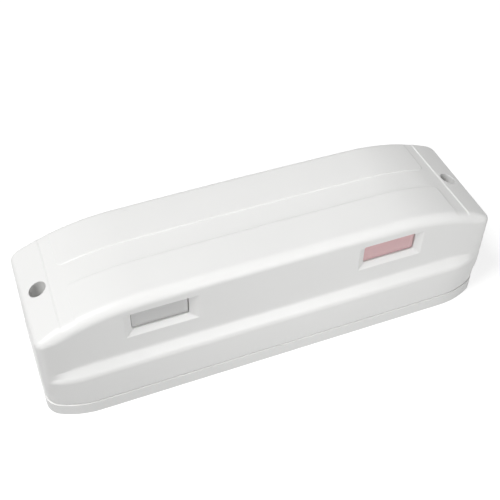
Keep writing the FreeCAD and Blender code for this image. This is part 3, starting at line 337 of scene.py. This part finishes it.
def lean(level):
    """How far the drafted walls have come in at a level."""
    return level * math.tan(DRAFT)


def crown(x, inside=0.0):
    """Level of the crown at x, or of the surface a distance inside it."""
    x = abs(x)
    if x < SHOULDER_START * (CROWN - inside) / CROWN:
        return HEIGHT - CROWN + math.sqrt((CROWN - inside) ** 2 - x * x)
    return SHOULDER_Z + math.sqrt((SHOULDER - inside) ** 2 - (x - SHOULDER_X) ** 2)


def crown_normal(x, ball):
    """Upward normal of the crown over a rim ball's centre at x."""
    x = abs(x)
    if x < SHOULDER_START * (CROWN - ball) / CROWN:
        across = x / (CROWN - ball)
    else:
        across = (x - SHOULDER_X) / (SHOULDER - ball)
    return Vector((across, 0, math.sqrt(1 - across * across)))


def outline(column, inset, edge=STEADY):
    """Point and outward normal of the right half of the plan above the shelf.

    A column is a kind and a place. The place is x along the front and the back, and a share of the way
    elsewhere. Edge is the x at which the turn out of the front begins.
    """
    kind, place = column
    end = LENGTH / 2 - inset
    front = -DEPTH / 2 + SHELF_RECESS + min(inset, FRONT_INSET)
    back = DEPTH / 2 - inset
    sweep = SWEEP - inset
    sweep_middle = Vector((SWEEP_START, front + sweep))
    small = max(FRONT_CORNER - inset, LEAST_CORNER)
    large = max(BACK_CORNER - inset, LEAST_CORNER)
    if kind == "front" and place <= SWEEP_START:
        return Vector((place, front)), Vector((0, -1))
    if kind == "front":
        out = heading(math.asin((place - SWEEP_START) / sweep))
        return sweep_middle + sweep * out, out
    meet = math.asin((end - small - SWEEP_START) / (sweep - small))
    if kind == "turn":
        first = math.asin(max(edge - SWEEP_START, 0) / sweep)
        run = max(SWEEP_START - edge, 0)
        along = place * (run + sweep * (meet - first))
        if along < run:
            return Vector((edge + along, front)), Vector((0, -1))
        out = heading(first + (along - run) / sweep)
        return sweep_middle + sweep * out, out
    end_y = front + sweep - (sweep - small) * math.cos(meet)
    if kind == "corner":
        out = heading(meet + place * (math.pi / 2 - meet))
        return Vector((end - small, end_y)) + small * out, out
    if kind == "end":
        return Vector((end, end_y + place * (back - large - end_y))), Vector((1, 0))
    if kind == "back_corner":
        out = Vector((math.cos(place * math.pi / 2), math.sin(place * math.pi / 2)))
        return Vector((end - large, back - large)) + large * out, out
    if kind == "back_edge":
        return Vector((end - large + place * (edge - end + large), back)), Vector((0, 1))
    return Vector((place, back)), Vector((0, 1))


def low_distance(point, inset, height_share, recess):
    """Distance of a plan point outside the outline under the shelf."""
    front = -DEPTH / 2 + inset + recess
    end = LENGTH / 2 - inset
    start = LOW_SWEEP_START + LOW_SWEEP_GAIN * height_share
    sweep = SWEEP - inset
    small = LOW_CORNER - LOW_CORNER_GAIN * height_share - inset
    if point.x <= start:
        return front - point.y
    meet = math.asin((end - small - start) / (sweep - small))
    middle = Vector((start, front + sweep))
    away = point - middle
    if math.atan2(away.x, -away.y) <= meet:
        return away.length - sweep
    middle += (sweep - small) * heading(meet)
    if point.y > middle.y:
        return point.x - end
    return (point - middle).length - small


def melt(distance, soft):
    """Distance that starts smoothly from zero and is itself again from soft on."""
    if distance <= 0:
        return 0.0
    share = distance / soft
    return distance if share >= 1 else soft * share * share * (2 - share)


def low_outline(column, inset, level, recess):
    """Point of the outline from the foot to the shelf: the swept front joined with the corner from above."""
    point, out = outline(column, inset)
    kind, place = column
    if kind not in ("front", "turn", "corner", "end"):
        return point
    height_share = clamp((level - PARTING) / (SHELF_LOW - PARTING))
    near, far = -SEARCH_REACH, SEARCH_REACH
    for _ in range(SEARCH_STEPS):
        middle = (near + far) / 2
        if low_distance(point + out * middle, inset, height_share, recess) < 0:
            near = middle
        else:
            far = middle
    pull = PULL * (1 - height_share) ** PULL_FADE
    soft = {"front": SOFT_JOIN, "turn": SOFT_JOIN, "corner": SOFT_END + SOFT_JOIN * (1 - place),
            "end": SOFT_END}[kind]
    return point + out * (melt(near + pull, soft) - pull)


def long_wall_places(lines, cap):
    """Places along a long wall, close together at the steps of the top."""
    places = spaced(0, COARSE_END, COARSE_STEP) + [BEFORE_PANEL]
    places += [PANEL_HALF + offset for offset in lines]
    places += spaced(AFTER_PANEL, cap - BEFORE_CAP, FINE_STEP)
    places += [cap + offset for offset in CAP_LINES]
    return places + spaced(cap + AFTER_CAP, STEADY, FINE_STEP)[:-1] + [STEADY]


def make_columns():
    """Columns once round the outline, from the middle of the front to the right. Side is -1 when mirrored."""
    half = [("front", x) for x in long_wall_places(FRONT_LINES, CAP_FRONT)]
    half += [("turn", i / TURN_COLUMNS) for i in range(1, TURN_COLUMNS + 1)]
    half += [("corner", i / CORNER_COLUMNS) for i in range(1, CORNER_COLUMNS + 1)]
    half += [("end", i / END_COLUMNS) for i in range(1, END_COLUMNS + 1)]
    half += [("back_corner", i / CORNER_COLUMNS) for i in range(1, CORNER_COLUMNS + 1)]
    half += [("back_edge", i / BACK_COLUMNS) for i in range(1, BACK_COLUMNS)]
    half += [("back", x) for x in reversed(long_wall_places(RISER_LINES, CAP_BACK))]
    return [(1, column) for column in half] + [(-1, column) for column in reversed(half[1:-1])]


COLUMNS = make_columns()


def columns_along(wall):
    """Number of the column at each x along the front or the back."""
    return {side * place: number for number, (side, (kind, place)) in enumerate(COLUMNS) if kind == wall}


def box_distance(across, along, corner):
    """Distance outside a rounded corner, from how far a point lies past the corner's two straight sides."""
    across += corner
    along += corner
    return math.hypot(max(across, 0), max(along, 0)) + min(max(across, along), 0) - corner


def panel_distance(x, y, back):
    """Distance out of the edge of the front or the back panel, negative inside it."""
    along = CHANNEL_BACK - y if back else y - CHANNEL_FRONT
    return box_distance(abs(x) - PANEL_HALF, along, PANEL_CORNER)


def cap_line(y):
    """Where the cap's step lies at y: a little nearer to the middle at the back."""
    return mix(CAP_FRONT, CAP_BACK, clamp((y - CAP_SLANT_START) / CAP_SLANT_RUN))


def edge_share(distance, reach):
    """Fall over a rounded edge, from 0 a reach inside its foot to 1 at the foot."""
    ahead = clamp(1 + distance / reach)
    return 1 - math.sqrt(1 - ahead * ahead)


def drop(x, y):
    """How far the channel and the strips lie under the crown, fading out over the rims."""
    share = smooth_step((cap_line(y) - abs(x)) / CAP_EDGE + 0.5)
    share *= edge_share(panel_distance(x, y, False), FRONT_EDGE)
    share *= smooth_step((panel_distance(x, y, True) + RISER) / (2 * RISER))
    share *= fade(y, FRONT_FADE) * fade(-y, BACK_FADE)
    back_share = clamp((y - CHANNEL_FRONT) / (CHANNEL_BACK - CHANNEL_FRONT))
    depth = mix(CHANNEL_FRONT_DROP, CHANNEL_BACK_DROP, back_share)
    depth = mix(depth, CHANNEL_END_DROP, fade(abs(x), CHANNEL_FADE))
    depth = mix(depth, STRIP_DROP, fade(abs(x), STRIP_FADE))
    return share * depth


def wall_point(side, column, level):
    """Point of the wall above the shelf."""
    point, _ = outline(column, lean(level) + SETBACK)
    return (side * point.x, point.y, level)


def low_point(side, column, level, extra, share):
    """Point of the wall under the shelf, brought in by extra, or of the shelf at a share of its recess."""
    point = low_outline(column, lean(level) + SETBACK + extra, level, SHELF_RECESS * share)
    return (side * point.x, point.y, level)


def rim_radius(column):
    """The front's larger rim, which goes over into the rim of the other sides on the turn."""
    kind, place = column
    if kind == "front":
        return FRONT_RIM
    return mix(FRONT_RIM, RIM, smooth_step(place)) if kind == "turn" else RIM


def slide(centre_x, turn, ball):
    """How far the rounding's point lies beyond its ball centre, along a long wall."""
    wall_normal = Vector((0, -math.cos(DRAFT), math.sin(DRAFT)))
    return ball * wall_normal.slerp(crown_normal(centre_x, ball), turn).x


def rim_point(side, column, turn):
    """Point of the rim's rounding, from turn 0 at the wall to 1 at the crown."""
    kind, place = column
    ball = rim_radius(column)
    centre_x = place if kind in ("front", "back") else STEADY
    level = crown(centre_x, ball)
    edge = STEADY
    for _ in range(ROLL_TRIES):
        if kind in ("front", "back"):
            centre_x = place - slide(centre_x, turn, ball)
            point, out = outline((kind, centre_x), lean(level) + SETBACK)
        else:
            edge = STEADY - slide(edge, turn, ball)
            point, out = outline(column, lean(level) + SETBACK, edge)
        centre = point - out * (ball / math.cos(DRAFT))
        level = crown(centre.x, ball)
    wall_normal = Vector((out.x * math.cos(DRAFT), out.y * math.cos(DRAFT), math.sin(DRAFT)))
    normal = wall_normal.slerp(crown_normal(centre.x, ball), turn)
    x, y, z = Vector((centre.x, centre.y, level)) + ball * normal
    fall = drop(x, y)
    return (side * (x + out.x * lean(fall)), y + out.y * lean(fall), z - fall)


def shelf_rows():
    """Levels up the shelf with its rounded edge and foot, and the share of the recess at each."""
    slope = math.atan(SHELF_RECESS / (SHELF_HIGH - SHELF_LOW))
    edge_start = SHELF_LOW - SHELF_EDGE * math.tan(slope / 2)
    foot_end = SHELF_HIGH + SHELF_FOOT * math.tan(slope / 2)
    turns = [slope * i / SHELF_STEPS for i in range(SHELF_STEPS + 1)]
    rows = [(edge_start + SHELF_EDGE * math.sin(turn), SHELF_EDGE * (1 - math.cos(turn)) / SHELF_RECESS)
            for turn in turns]
    rows += [(foot_end - SHELF_FOOT * math.sin(turn), 1 - SHELF_FOOT * (1 - math.cos(turn)) / SHELF_RECESS)
             for turn in reversed(turns)]
    return rows


def cover_rows():
    """Rows of points round the cover, from the foot up to the crown."""
    places = [(level, extra, 0.0) for level, extra in FOOT_ROWS]
    for i in range(1, FOOT_EDGE_STEPS + 1):
        turn = math.pi / 2 * i / FOOT_EDGE_STEPS
        places.append((PARTING + FOOT_EDGE * (1 - math.cos(turn)), FOOT_EDGE * (1 - math.sin(turn)), 0.0))
    places += [(level, 0.0, 0.0) for level in LOW_WALL_LEVELS]
    places += [(level, 0.0, share) for level, share in shelf_rows()]
    rows = [[low_point(side, column, *place) for side, column in COLUMNS] for place in places]
    starts = [rim_point(side, column, 0.0) for side, column in COLUMNS]
    low = places[-1][0] + WALL_START
    for share in WALL_SHARES:
        rows.append([wall_point(side, column, mix(low, start[2], share))
                     for (side, column), start in zip(COLUMNS, starts)])
    rows.append(starts)
    for i in range(1, RIM_STEPS + 1):
        rows.append([rim_point(side, column, i / RIM_STEPS) for side, column in COLUMNS])
    return rows


class Skin:
    """Points and faces of a surface in the making."""

    def __init__(self):
        self.points = []
        self.faces = []

    def add(self, row):
        """Takes up a row of points, and gives their numbers."""
        self.points.extend(row)
        return list(range(len(self.points) - len(row), len(self.points)))

    def join(self, low, high, gaps=()):
        """Quads between two closed rows of point numbers, but for those that start at a gap."""
        for j in range(len(low)):
            if j not in gaps:
                k = (j + 1) % len(low)
                self.faces.append([low[j], low[k], high[k], high[j]])

    def fill(self, numbers, flat, edges, keep):
        """Triangles between points that are given flat, with every edge kept.

        Keep tells by its middle if a triangle stays.
        """
        vectors = [Vector(place) for place in flat]
        found, _, faces, origin, _, _ = delaunay_2d_cdt(vectors, edges, [], INSIDE_EDGES, MERGE)
        for face in faces:
            middle = sum((found[i] for i in face), Vector((0, 0))) / len(face)
            if keep(middle):
                self.faces.append([numbers[origin[i][0]] for i in face])


class FlatPlan:
    """Flat points in the making, and the edges that a fill keeps between them."""

    def __init__(self, border):
        self.places = list(border)
        self.edges = [(i, (i + 1) % len(border)) for i in range(len(border))]

    def add(self, line):
        """Takes up a line of places, and gives their numbers."""
        self.places.extend(line)
        return list(range(len(self.places) - len(line), len(self.places)))

    def path(self, numbers):
        """Keeps the edges from each number to the next."""
        self.edges.extend(zip(numbers, numbers[1:]))

    def loop(self, line):
        """Takes up a closed line of places with its edges, and gives their numbers."""
        numbers = self.add(line)
        self.path(numbers + numbers[:1])
        return numbers


def rounded_rectangle(half_x, half_z, radius, steps=5, along=8, up=3):
    """Points anticlockwise round a rectangle with rounded corners, with its sides divided."""
    points = []
    corners = [(1, -1), (1, 1), (-1, 1), (-1, -1)]
    inner_x, inner_z = half_x - radius, half_z - radius
    for number, (x, z) in enumerate(corners):
        for i in range(steps + 1):
            turn = math.pi / 2 * (number - 1 + i / steps)
            reach_x, reach_z = radius * math.cos(turn), radius * math.sin(turn)
            points.append((x * inner_x + reach_x, z * inner_z + reach_z))
        next_x, next_z = corners[(number + 1) % len(corners)]
        count = along if z == next_z else up
        for i in range(1, count):
            points.append((mix(x * inner_x + reach_x, next_x * inner_x + reach_x, i / count),
                           mix(z * inner_z + reach_z, next_z * inner_z + reach_z, i / count)))
    return points


def bevel_box(side, ahead):
    """Middle and half size of a window's loop that has a share of the bevel's width still ahead."""
    left, right = BEVEL_SIDES[side]
    middle_x = WINDOWS[side] + (right - left) / 2 * ahead
    middle_z = WINDOW_Z + (BEVEL_TOP - BEVEL_LOW) / 2 * ahead
    half_x = OPENING_HALF[0] + (left + right) / 2 * ahead
    half_z = OPENING_HALF[1] + (BEVEL_LOW + BEVEL_TOP) / 2 * ahead
    return middle_x, middle_z, half_x, half_z, OPENING_CORNER - OUTER_CORNER_LESS * ahead


def bevel_profile():
    """Steps down a window's bevel: the share of its width still ahead, and the depth under the wall."""
    steps = [(1 + EDGE_OUT * (1 - t) ** 2 - EDGE_IN * t * t, EDGE_IN * BEVEL_DEPTH * t * t) for t in QUARTERS]
    steps.append((0.5, 0.5 * BEVEL_DEPTH))
    for t in QUARTERS:
        ahead = BEVEL_FOOT * (1 - t) ** 2
        steps.append((ahead, BEVEL_DEPTH * (1 - ahead) + BEVEL_FOOT_DROP * t * t))
    return steps + [(0.0, depth) for depth in OPENING_DEPTHS]


def add_window(skin, side, gap):
    """The wall in the gap round a window, the bevel and the opening."""
    loops = []
    for ahead, depth in bevel_profile():
        middle_x, middle_z, half_x, half_z, corner = bevel_box(side, ahead)
        loops.append(skin.add([(middle_x + x, UPPER_WALL_Y + depth, middle_z + z)
                               for x, z in rounded_rectangle(half_x, half_z, corner)]))
    middle_x, middle_z, half_x, half_z, corner = bevel_box(side, 1 + EDGE_OUT)

    def on_wall(place):
        return box_distance(abs(place.x - middle_x) - half_x, abs(place.y - middle_z) - half_z, corner) > 0

    plan = FlatPlan([(skin.points[n][0], skin.points[n][2]) for n in gap])
    plan.loop([(skin.points[n][0], skin.points[n][2]) for n in loops[0]])
    skin.fill(gap + loops[0], plan.places, plan.edges, on_wall)
    for outer, inner in zip(loops, loops[1:]):
        skin.join(outer, inner)


def add_walls(skin, rows):
    """The walls and the rim, with a gap in the upper front wall for each window."""
    fronts = columns_along("front")
    wall_row = len(rows) - RIM_STEPS - 1 - len(WALL_SHARES)
    low_row, high_row = wall_row + GAP_ROWS[0], wall_row + GAP_ROWS[1]
    spans = {}
    for side in (-1, 1):
        first, last = sorted(side * place for place in GAP_COLUMNS)
        spans[side] = list(range(fronts[first], fronts[last] + 1))
    gap_columns = {j for span in spans.values() for j in span[:-1]}
    for i, (low, high) in enumerate(zip(rows, rows[1:])):
        skin.join(low, high, gap_columns if low_row <= i < high_row else ())
    for side, span in spans.items():
        gap = [rows[low_row][j] for j in span]
        gap += [rows[i][span[-1]] for i in range(low_row + 1, high_row)]
        gap += [rows[high_row][j] for j in reversed(span)]
        gap += [rows[i][span[0]] for i in range(high_row - 1, low_row, -1)]
        add_window(skin, side, gap)


def panel_lines(offset, back):
    """Corner and side points of a panel's edge, brought out by offset, without its ends on the rim."""
    half = PANEL_HALF + offset
    radius = PANEL_CORNER + offset
    edge = CHANNEL_FRONT + offset
    bend = edge - radius
    points = [(-half, y) for y in spaced(TOP_FRONT, bend, COARSE_STEP)]
    for i in range(1, PANEL_CORNER_STEPS + 1):
        turn = math.pi - math.pi / 2 * i / PANEL_CORNER_STEPS
        points.append((-(half - radius) + radius * math.cos(turn), bend + radius * math.sin(turn)))
    points += [(x, edge) for x in spaced(-(half - radius), 0, COARSE_STEP)[1:]]
    points += [(-x, y) for x, y in reversed(points[:-1])]
    if back:
        points = [(x, CHANNEL_FRONT + CHANNEL_BACK - y) for x, y in points]
    return points


def circle(side, radius):
    """Places round a well."""
    return [(side * WELL_X + radius * math.cos(turn), WELL_Y + radius * math.sin(turn))
            for turn in WELL_TURNS]


def top_grid():
    """Loose places on the top, clear of its steps, wells and corners."""
    places = []
    for x in spaced(-GRID_X, GRID_X, GRID_X_STEP):
        for y in spaced(GRID_FRONT, GRID_BACK, GRID_Y_STEP):
            to_steps = (abs(x) - PANEL_HALF, abs(x) - cap_line(y), panel_distance(x, y, False),
                        panel_distance(x, y, True))
            near_step = min(abs(distance) for distance in to_steps) < STEP_CLEAR
            near_well = math.hypot(abs(x) - WELL_X, y - WELL_Y) < MOUTH_RADIUS + MOUTH_CLEAR
            near_corner = abs(x) > CORNER_X and (y < CORNER_FRONT or y > CORNER_BACK)
            if not (near_step or near_well or near_corner):
                places.append((x, y))
    return places


def off_wells(place):
    """Tells if a place on the top lies outside the mouths of the wells."""
    return math.hypot(abs(place.x) - WELL_X, place.y - WELL_Y) > MOUTH_RADIUS


def add_top(skin, border):
    """The top inside the rim, with the steps of the panels and caps. Gives the mouth of each well."""
    plan = FlatPlan([skin.points[n][:2] for n in border])
    fronts, backs = columns_along("front"), columns_along("back")
    for back, offsets, ends in ((False, FRONT_LINES, fronts), (True, RISER_LINES, backs)):
        for offset in offsets:
            line = plan.add(panel_lines(offset, back))
            plan.path([ends[-(PANEL_HALF + offset)]] + line + [ends[PANEL_HALF + offset]])
    for offset in CAP_LINES:
        for side in (-1, 1):
            line = plan.add([(side * (cap_line(y) + offset), y)
                             for y in spaced(TOP_FRONT, TOP_BACK, 2 * FINE_STEP)])
            plan.path([fronts[side * (CAP_FRONT + offset)]] + line + [backs[side * (CAP_BACK + offset)]])
    mouths = {}
    for side in (-1, 1):
        mouths[side] = plan.loop(circle(side, MOUTH_RADIUS))
        plan.loop(circle(side, MOUTH_RADIUS + MOUTH_BORDER))
    plan.add(top_grid())
    inner = skin.add([(x, y, crown(x) - drop(x, y)) for x, y in plan.places[len(border):]])
    numbers = border + inner
    skin.fill(numbers, plan.places, plan.edges, off_wells)
    return {side: [numbers[i] for i in mouth] for side, mouth in mouths.items()}


def add_well(skin, side, loop):
    """A well from its rounded mouth down to its seat, with the screw hole."""
    tops = [skin.points[n][2] for n in loop]
    steps = [(WELL_RADIUS + WELL_MOUTH * (1 - math.sin(angle)),
              [top - WELL_MOUTH * (1 - math.cos(angle)) for top in tops]) for angle in MOUTH_ANGLES]
    steps += [(WELL_RADIUS, [mix(top - WELL_MOUTH, WELL_SEAT, share) for top in tops])
              for share in WELL_SHARES]
    steps += [(SCREW_HOLE, [level] * len(tops)) for level in (WELL_SEAT, WELL_END)]
    for radius, levels in steps:
        row = skin.add([(x, y, level) for (x, y), level in zip(circle(side, radius), levels)])
        skin.join(loop, row)
        loop = row


def make_cover():
    """The whole cover as one skin."""
    skin = Skin()
    rows = [skin.add(row) for row in cover_rows()]
    add_walls(skin, rows)
    for side, mouth in add_top(skin, rows[-1]).items():
        add_well(skin, side, mouth)
    return skin


def make_pane(side):
    """A window pane with a slightly sloping border, rounded edges, and its flange behind the wall."""
    face_y = UPPER_WALL_Y + BEVEL_DEPTH + PANE_SINK
    rounding = [(PANE_EDGE * (1 - math.sin(angle)), PANE_EDGE_START + PANE_EDGE * (1 - math.cos(angle)))
                for angle in PANE_EDGE_ANGLES]
    middle_x, middle_z = WINDOWS[side] + PANE_SHIFT[0], WINDOW_Z + PANE_SHIFT[1]
    skin = Skin()
    loops = []
    for inset, depth in PANE_BORDER + rounding + PANE_FLANGE:
        corner = max(PANE_CORNER - inset, PANE_LEAST_CORNER)
        loops.append(skin.add([(middle_x + x, face_y + depth, middle_z + z) for x, z in
                               rounded_rectangle(PANE_HALF[0] - inset, PANE_HALF[1] - inset, corner)]))
    for outer, inner in zip(loops[1:], loops):
        skin.join(outer, inner)
    skin.faces.append(loops[0])
    skin.faces.append(list(reversed(loops[-1])))
    return skin


def make_piece(name, node, slot, skin):
    """A scene piece that stands for a CAD node."""
    mesh = bpy.data.meshes.new(name)
    mesh.from_pydata([[number * MM for number in point] for point in skin.points], [], skin.faces)
    shape = bmesh.new()
    shape.from_mesh(mesh)
    bmesh.ops.delete(shape, geom=[v for v in shape.verts if not v.link_faces], context="VERTS")
    for face in shape.faces:
        face.smooth = True
    for edge in shape.edges:
        edge.smooth = edge.calc_face_angle(0.0) < SHARP
    shape.to_mesh(mesh)
    shape.free()
    mesh.materials.append(MATERIALS[slot])
    piece = bpy.data.objects.new(name, mesh)
    bpy.context.scene.collection.objects.link(piece)
    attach(piece, "root")
    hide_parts(node)
    return piece


def in_well(point):
    return math.hypot(abs(point.x) - WELL_X, point.y - WELL_Y) < MOUTH_RADIUS + WELL_SKIN_REACH


def make_pieces():
    """The cover, made solid inwards, and the two panes."""
    cover = make_piece("housing_cover", "cover", "housing", make_cover())
    thick = cover.vertex_groups.new(name="thick")
    thick.add([v.index for v in cover.data.vertices if not in_well(v.co / MM)], 1.0, "REPLACE")
    solid = cover.modifiers.new("wall", "SOLIDIFY")
    solid.thickness = SKIN * MM
    solid.offset = -1.0
    solid.vertex_group = thick.name
    solid.thickness_vertex_group = WELL_SKIN / SKIN
    weighted = cover.modifiers.new("normals", "WEIGHTED_NORMAL")
    weighted.keep_sharp = True
    make_piece("left_pane", "grey_window", "grey_pane", make_pane(-1))
    make_piece("right_pane", "red_window", "red_pane", make_pane(1))


# Stage, in metres and watts

FLOOR_REACH = 3.0
FLOOR_COLOUR = (0.36, 0.36, 0.36, 1)
FLOOR_ROUGHNESS = 0.9
FLOOR_GLOW = 0.78
WORLD_LIGHT = 0.065
WHITE = (1, 1, 1, 1)
AIM = (0, 0, 0.03)
LAMP_DISTANCE = 1.5

# Name, azimuth and elevation, size and power of each softbox
SOFTBOXES = [
    ("key_softbox", (math.radians(-80), math.radians(60)), 0.6, 20.9),
    ("back_softbox", (math.radians(150), math.radians(45)), 0.6, 1.6),
]
FRONT_CARD_PLACE = (0.05, -0.35, 0.12)
FRONT_CARD_SIZE = 0.2
FRONT_CARD_POWER = 0.64


def direction(azimuth, elevation):
    """Direction out of the object, from its front towards its right end, and up."""
    return Vector((math.sin(azimuth) * math.cos(elevation), -math.cos(azimuth) * math.cos(elevation),
                   math.sin(elevation)))


def seen_directly(tree):
    """1 for rays of the camera and for its rays in gloss and glass, and 0 for the light that spreads."""
    rays = tree.nodes.new("ShaderNodeLightPath")
    total = rays.outputs["Is Camera Ray"]
    for kind in ("Is Glossy Ray", "Is Transmission Ray"):
        larger = tree.nodes.new("ShaderNodeMath")
        larger.operation = "MAXIMUM"
        tree.links.new(total, larger.inputs[0])
        tree.links.new(rays.outputs[kind], larger.inputs[1])
        total = larger.outputs[0]
    return total


def scaled(tree, factor, low, high):
    """Spreads a factor of 0 to 1 between two strengths."""
    node = tree.nodes.new("ShaderNodeMapRange")
    node.inputs["To Min"].default_value = low
    node.inputs["To Max"].default_value = high
    tree.links.new(factor, node.inputs["Value"])
    return node.outputs["Result"]


def make_floor():
    """A plain floor that shows white to the camera and keeps a faint shadow of the object."""
    mesh = bpy.data.meshes.new("floor")
    corners = [(x * FLOOR_REACH, y * FLOOR_REACH, 0) for x, y in ((-1, -1), (1, -1), (1, 1), (-1, 1))]
    mesh.from_pydata(corners, [], [(0, 1, 2, 3)])
    floor = bpy.data.objects.new("floor", mesh)
    bpy.context.scene.collection.objects.link(floor)
    material, shader, tree = new_material("floor_pale")
    shader.inputs["Base Color"].default_value = FLOOR_COLOUR
    shader.inputs["Roughness"].default_value = FLOOR_ROUGHNESS
    shader.inputs["Specular IOR Level"].default_value = 0.0
    shader.inputs["Emission Color"].default_value = WHITE
    tree.links.new(scaled(tree, seen_directly(tree), 0.0, FLOOR_GLOW), shader.inputs["Emission Strength"])
    mesh.materials.append(material)


def area_light(name, place, size, power):
    """A square lamp that faces the object."""
    lamp = bpy.data.lights.new(name, "AREA")
    lamp.shape = "SQUARE"
    lamp.size = size
    lamp.energy = power
    holder = bpy.data.objects.new(name, lamp)
    holder.location = place
    holder.rotation_euler = (Vector(AIM) - Vector(place)).to_track_quat("-Z", "Y").to_euler()
    bpy.context.scene.collection.objects.link(holder)


def make_lights():
    """The lamps, and a world that is white to the camera and lights the object softly."""
    for name, angles, size, power in SOFTBOXES:
        area_light(name, LAMP_DISTANCE * direction(*angles), size, power)
    area_light("front_card", FRONT_CARD_PLACE, FRONT_CARD_SIZE, FRONT_CARD_POWER)
    world = bpy.data.worlds.new("studio")
    world.use_nodes = True
    tree = world.node_tree
    background = tree.nodes["Background"]
    background.inputs["Color"].default_value = WHITE
    tree.links.new(scaled(tree, seen_directly(tree), WORLD_LIGHT, 1.0), background.inputs["Strength"])
    bpy.context.scene.world = world


# Camera

CAMERA_PLACE = (-0.1199, -0.2890, 0.3724)
CAMERA_AZIMUTH = math.radians(-21.92)
CAMERA_ELEVATION = math.radians(46.285)
CAMERA_ROLL = math.radians(0.85)
CAMERA_LENS = 63.16
CAMERA_CLIP = 0.01
SENSOR = 36.0


def make_camera():
    """The camera at the photograph's viewing angle."""
    data = bpy.data.cameras.new("camera")
    data.sensor_width = SENSOR
    data.lens = CAMERA_LENS
    data.clip_start = CAMERA_CLIP
    camera = bpy.data.objects.new("camera", data)
    back = direction(CAMERA_AZIMUTH, CAMERA_ELEVATION)
    right = Vector((math.cos(CAMERA_AZIMUTH), math.sin(CAMERA_AZIMUTH), 0))
    up = back.cross(right)
    rolled_right = right * math.cos(CAMERA_ROLL) + up * math.sin(CAMERA_ROLL)
    rolled_up = up * math.cos(CAMERA_ROLL) - right * math.sin(CAMERA_ROLL)
    turn = Matrix((rolled_right, rolled_up, back)).transposed()
    camera.matrix_world = Matrix.Translation(CAMERA_PLACE) @ turn.to_4x4()
    bpy.context.scene.collection.objects.link(camera)
    bpy.context.scene.camera = camera


dress_nodes()
make_pieces()
make_floor()
make_lights()
make_camera()
bpy.context.scene.view_settings.view_transform = "Standard"
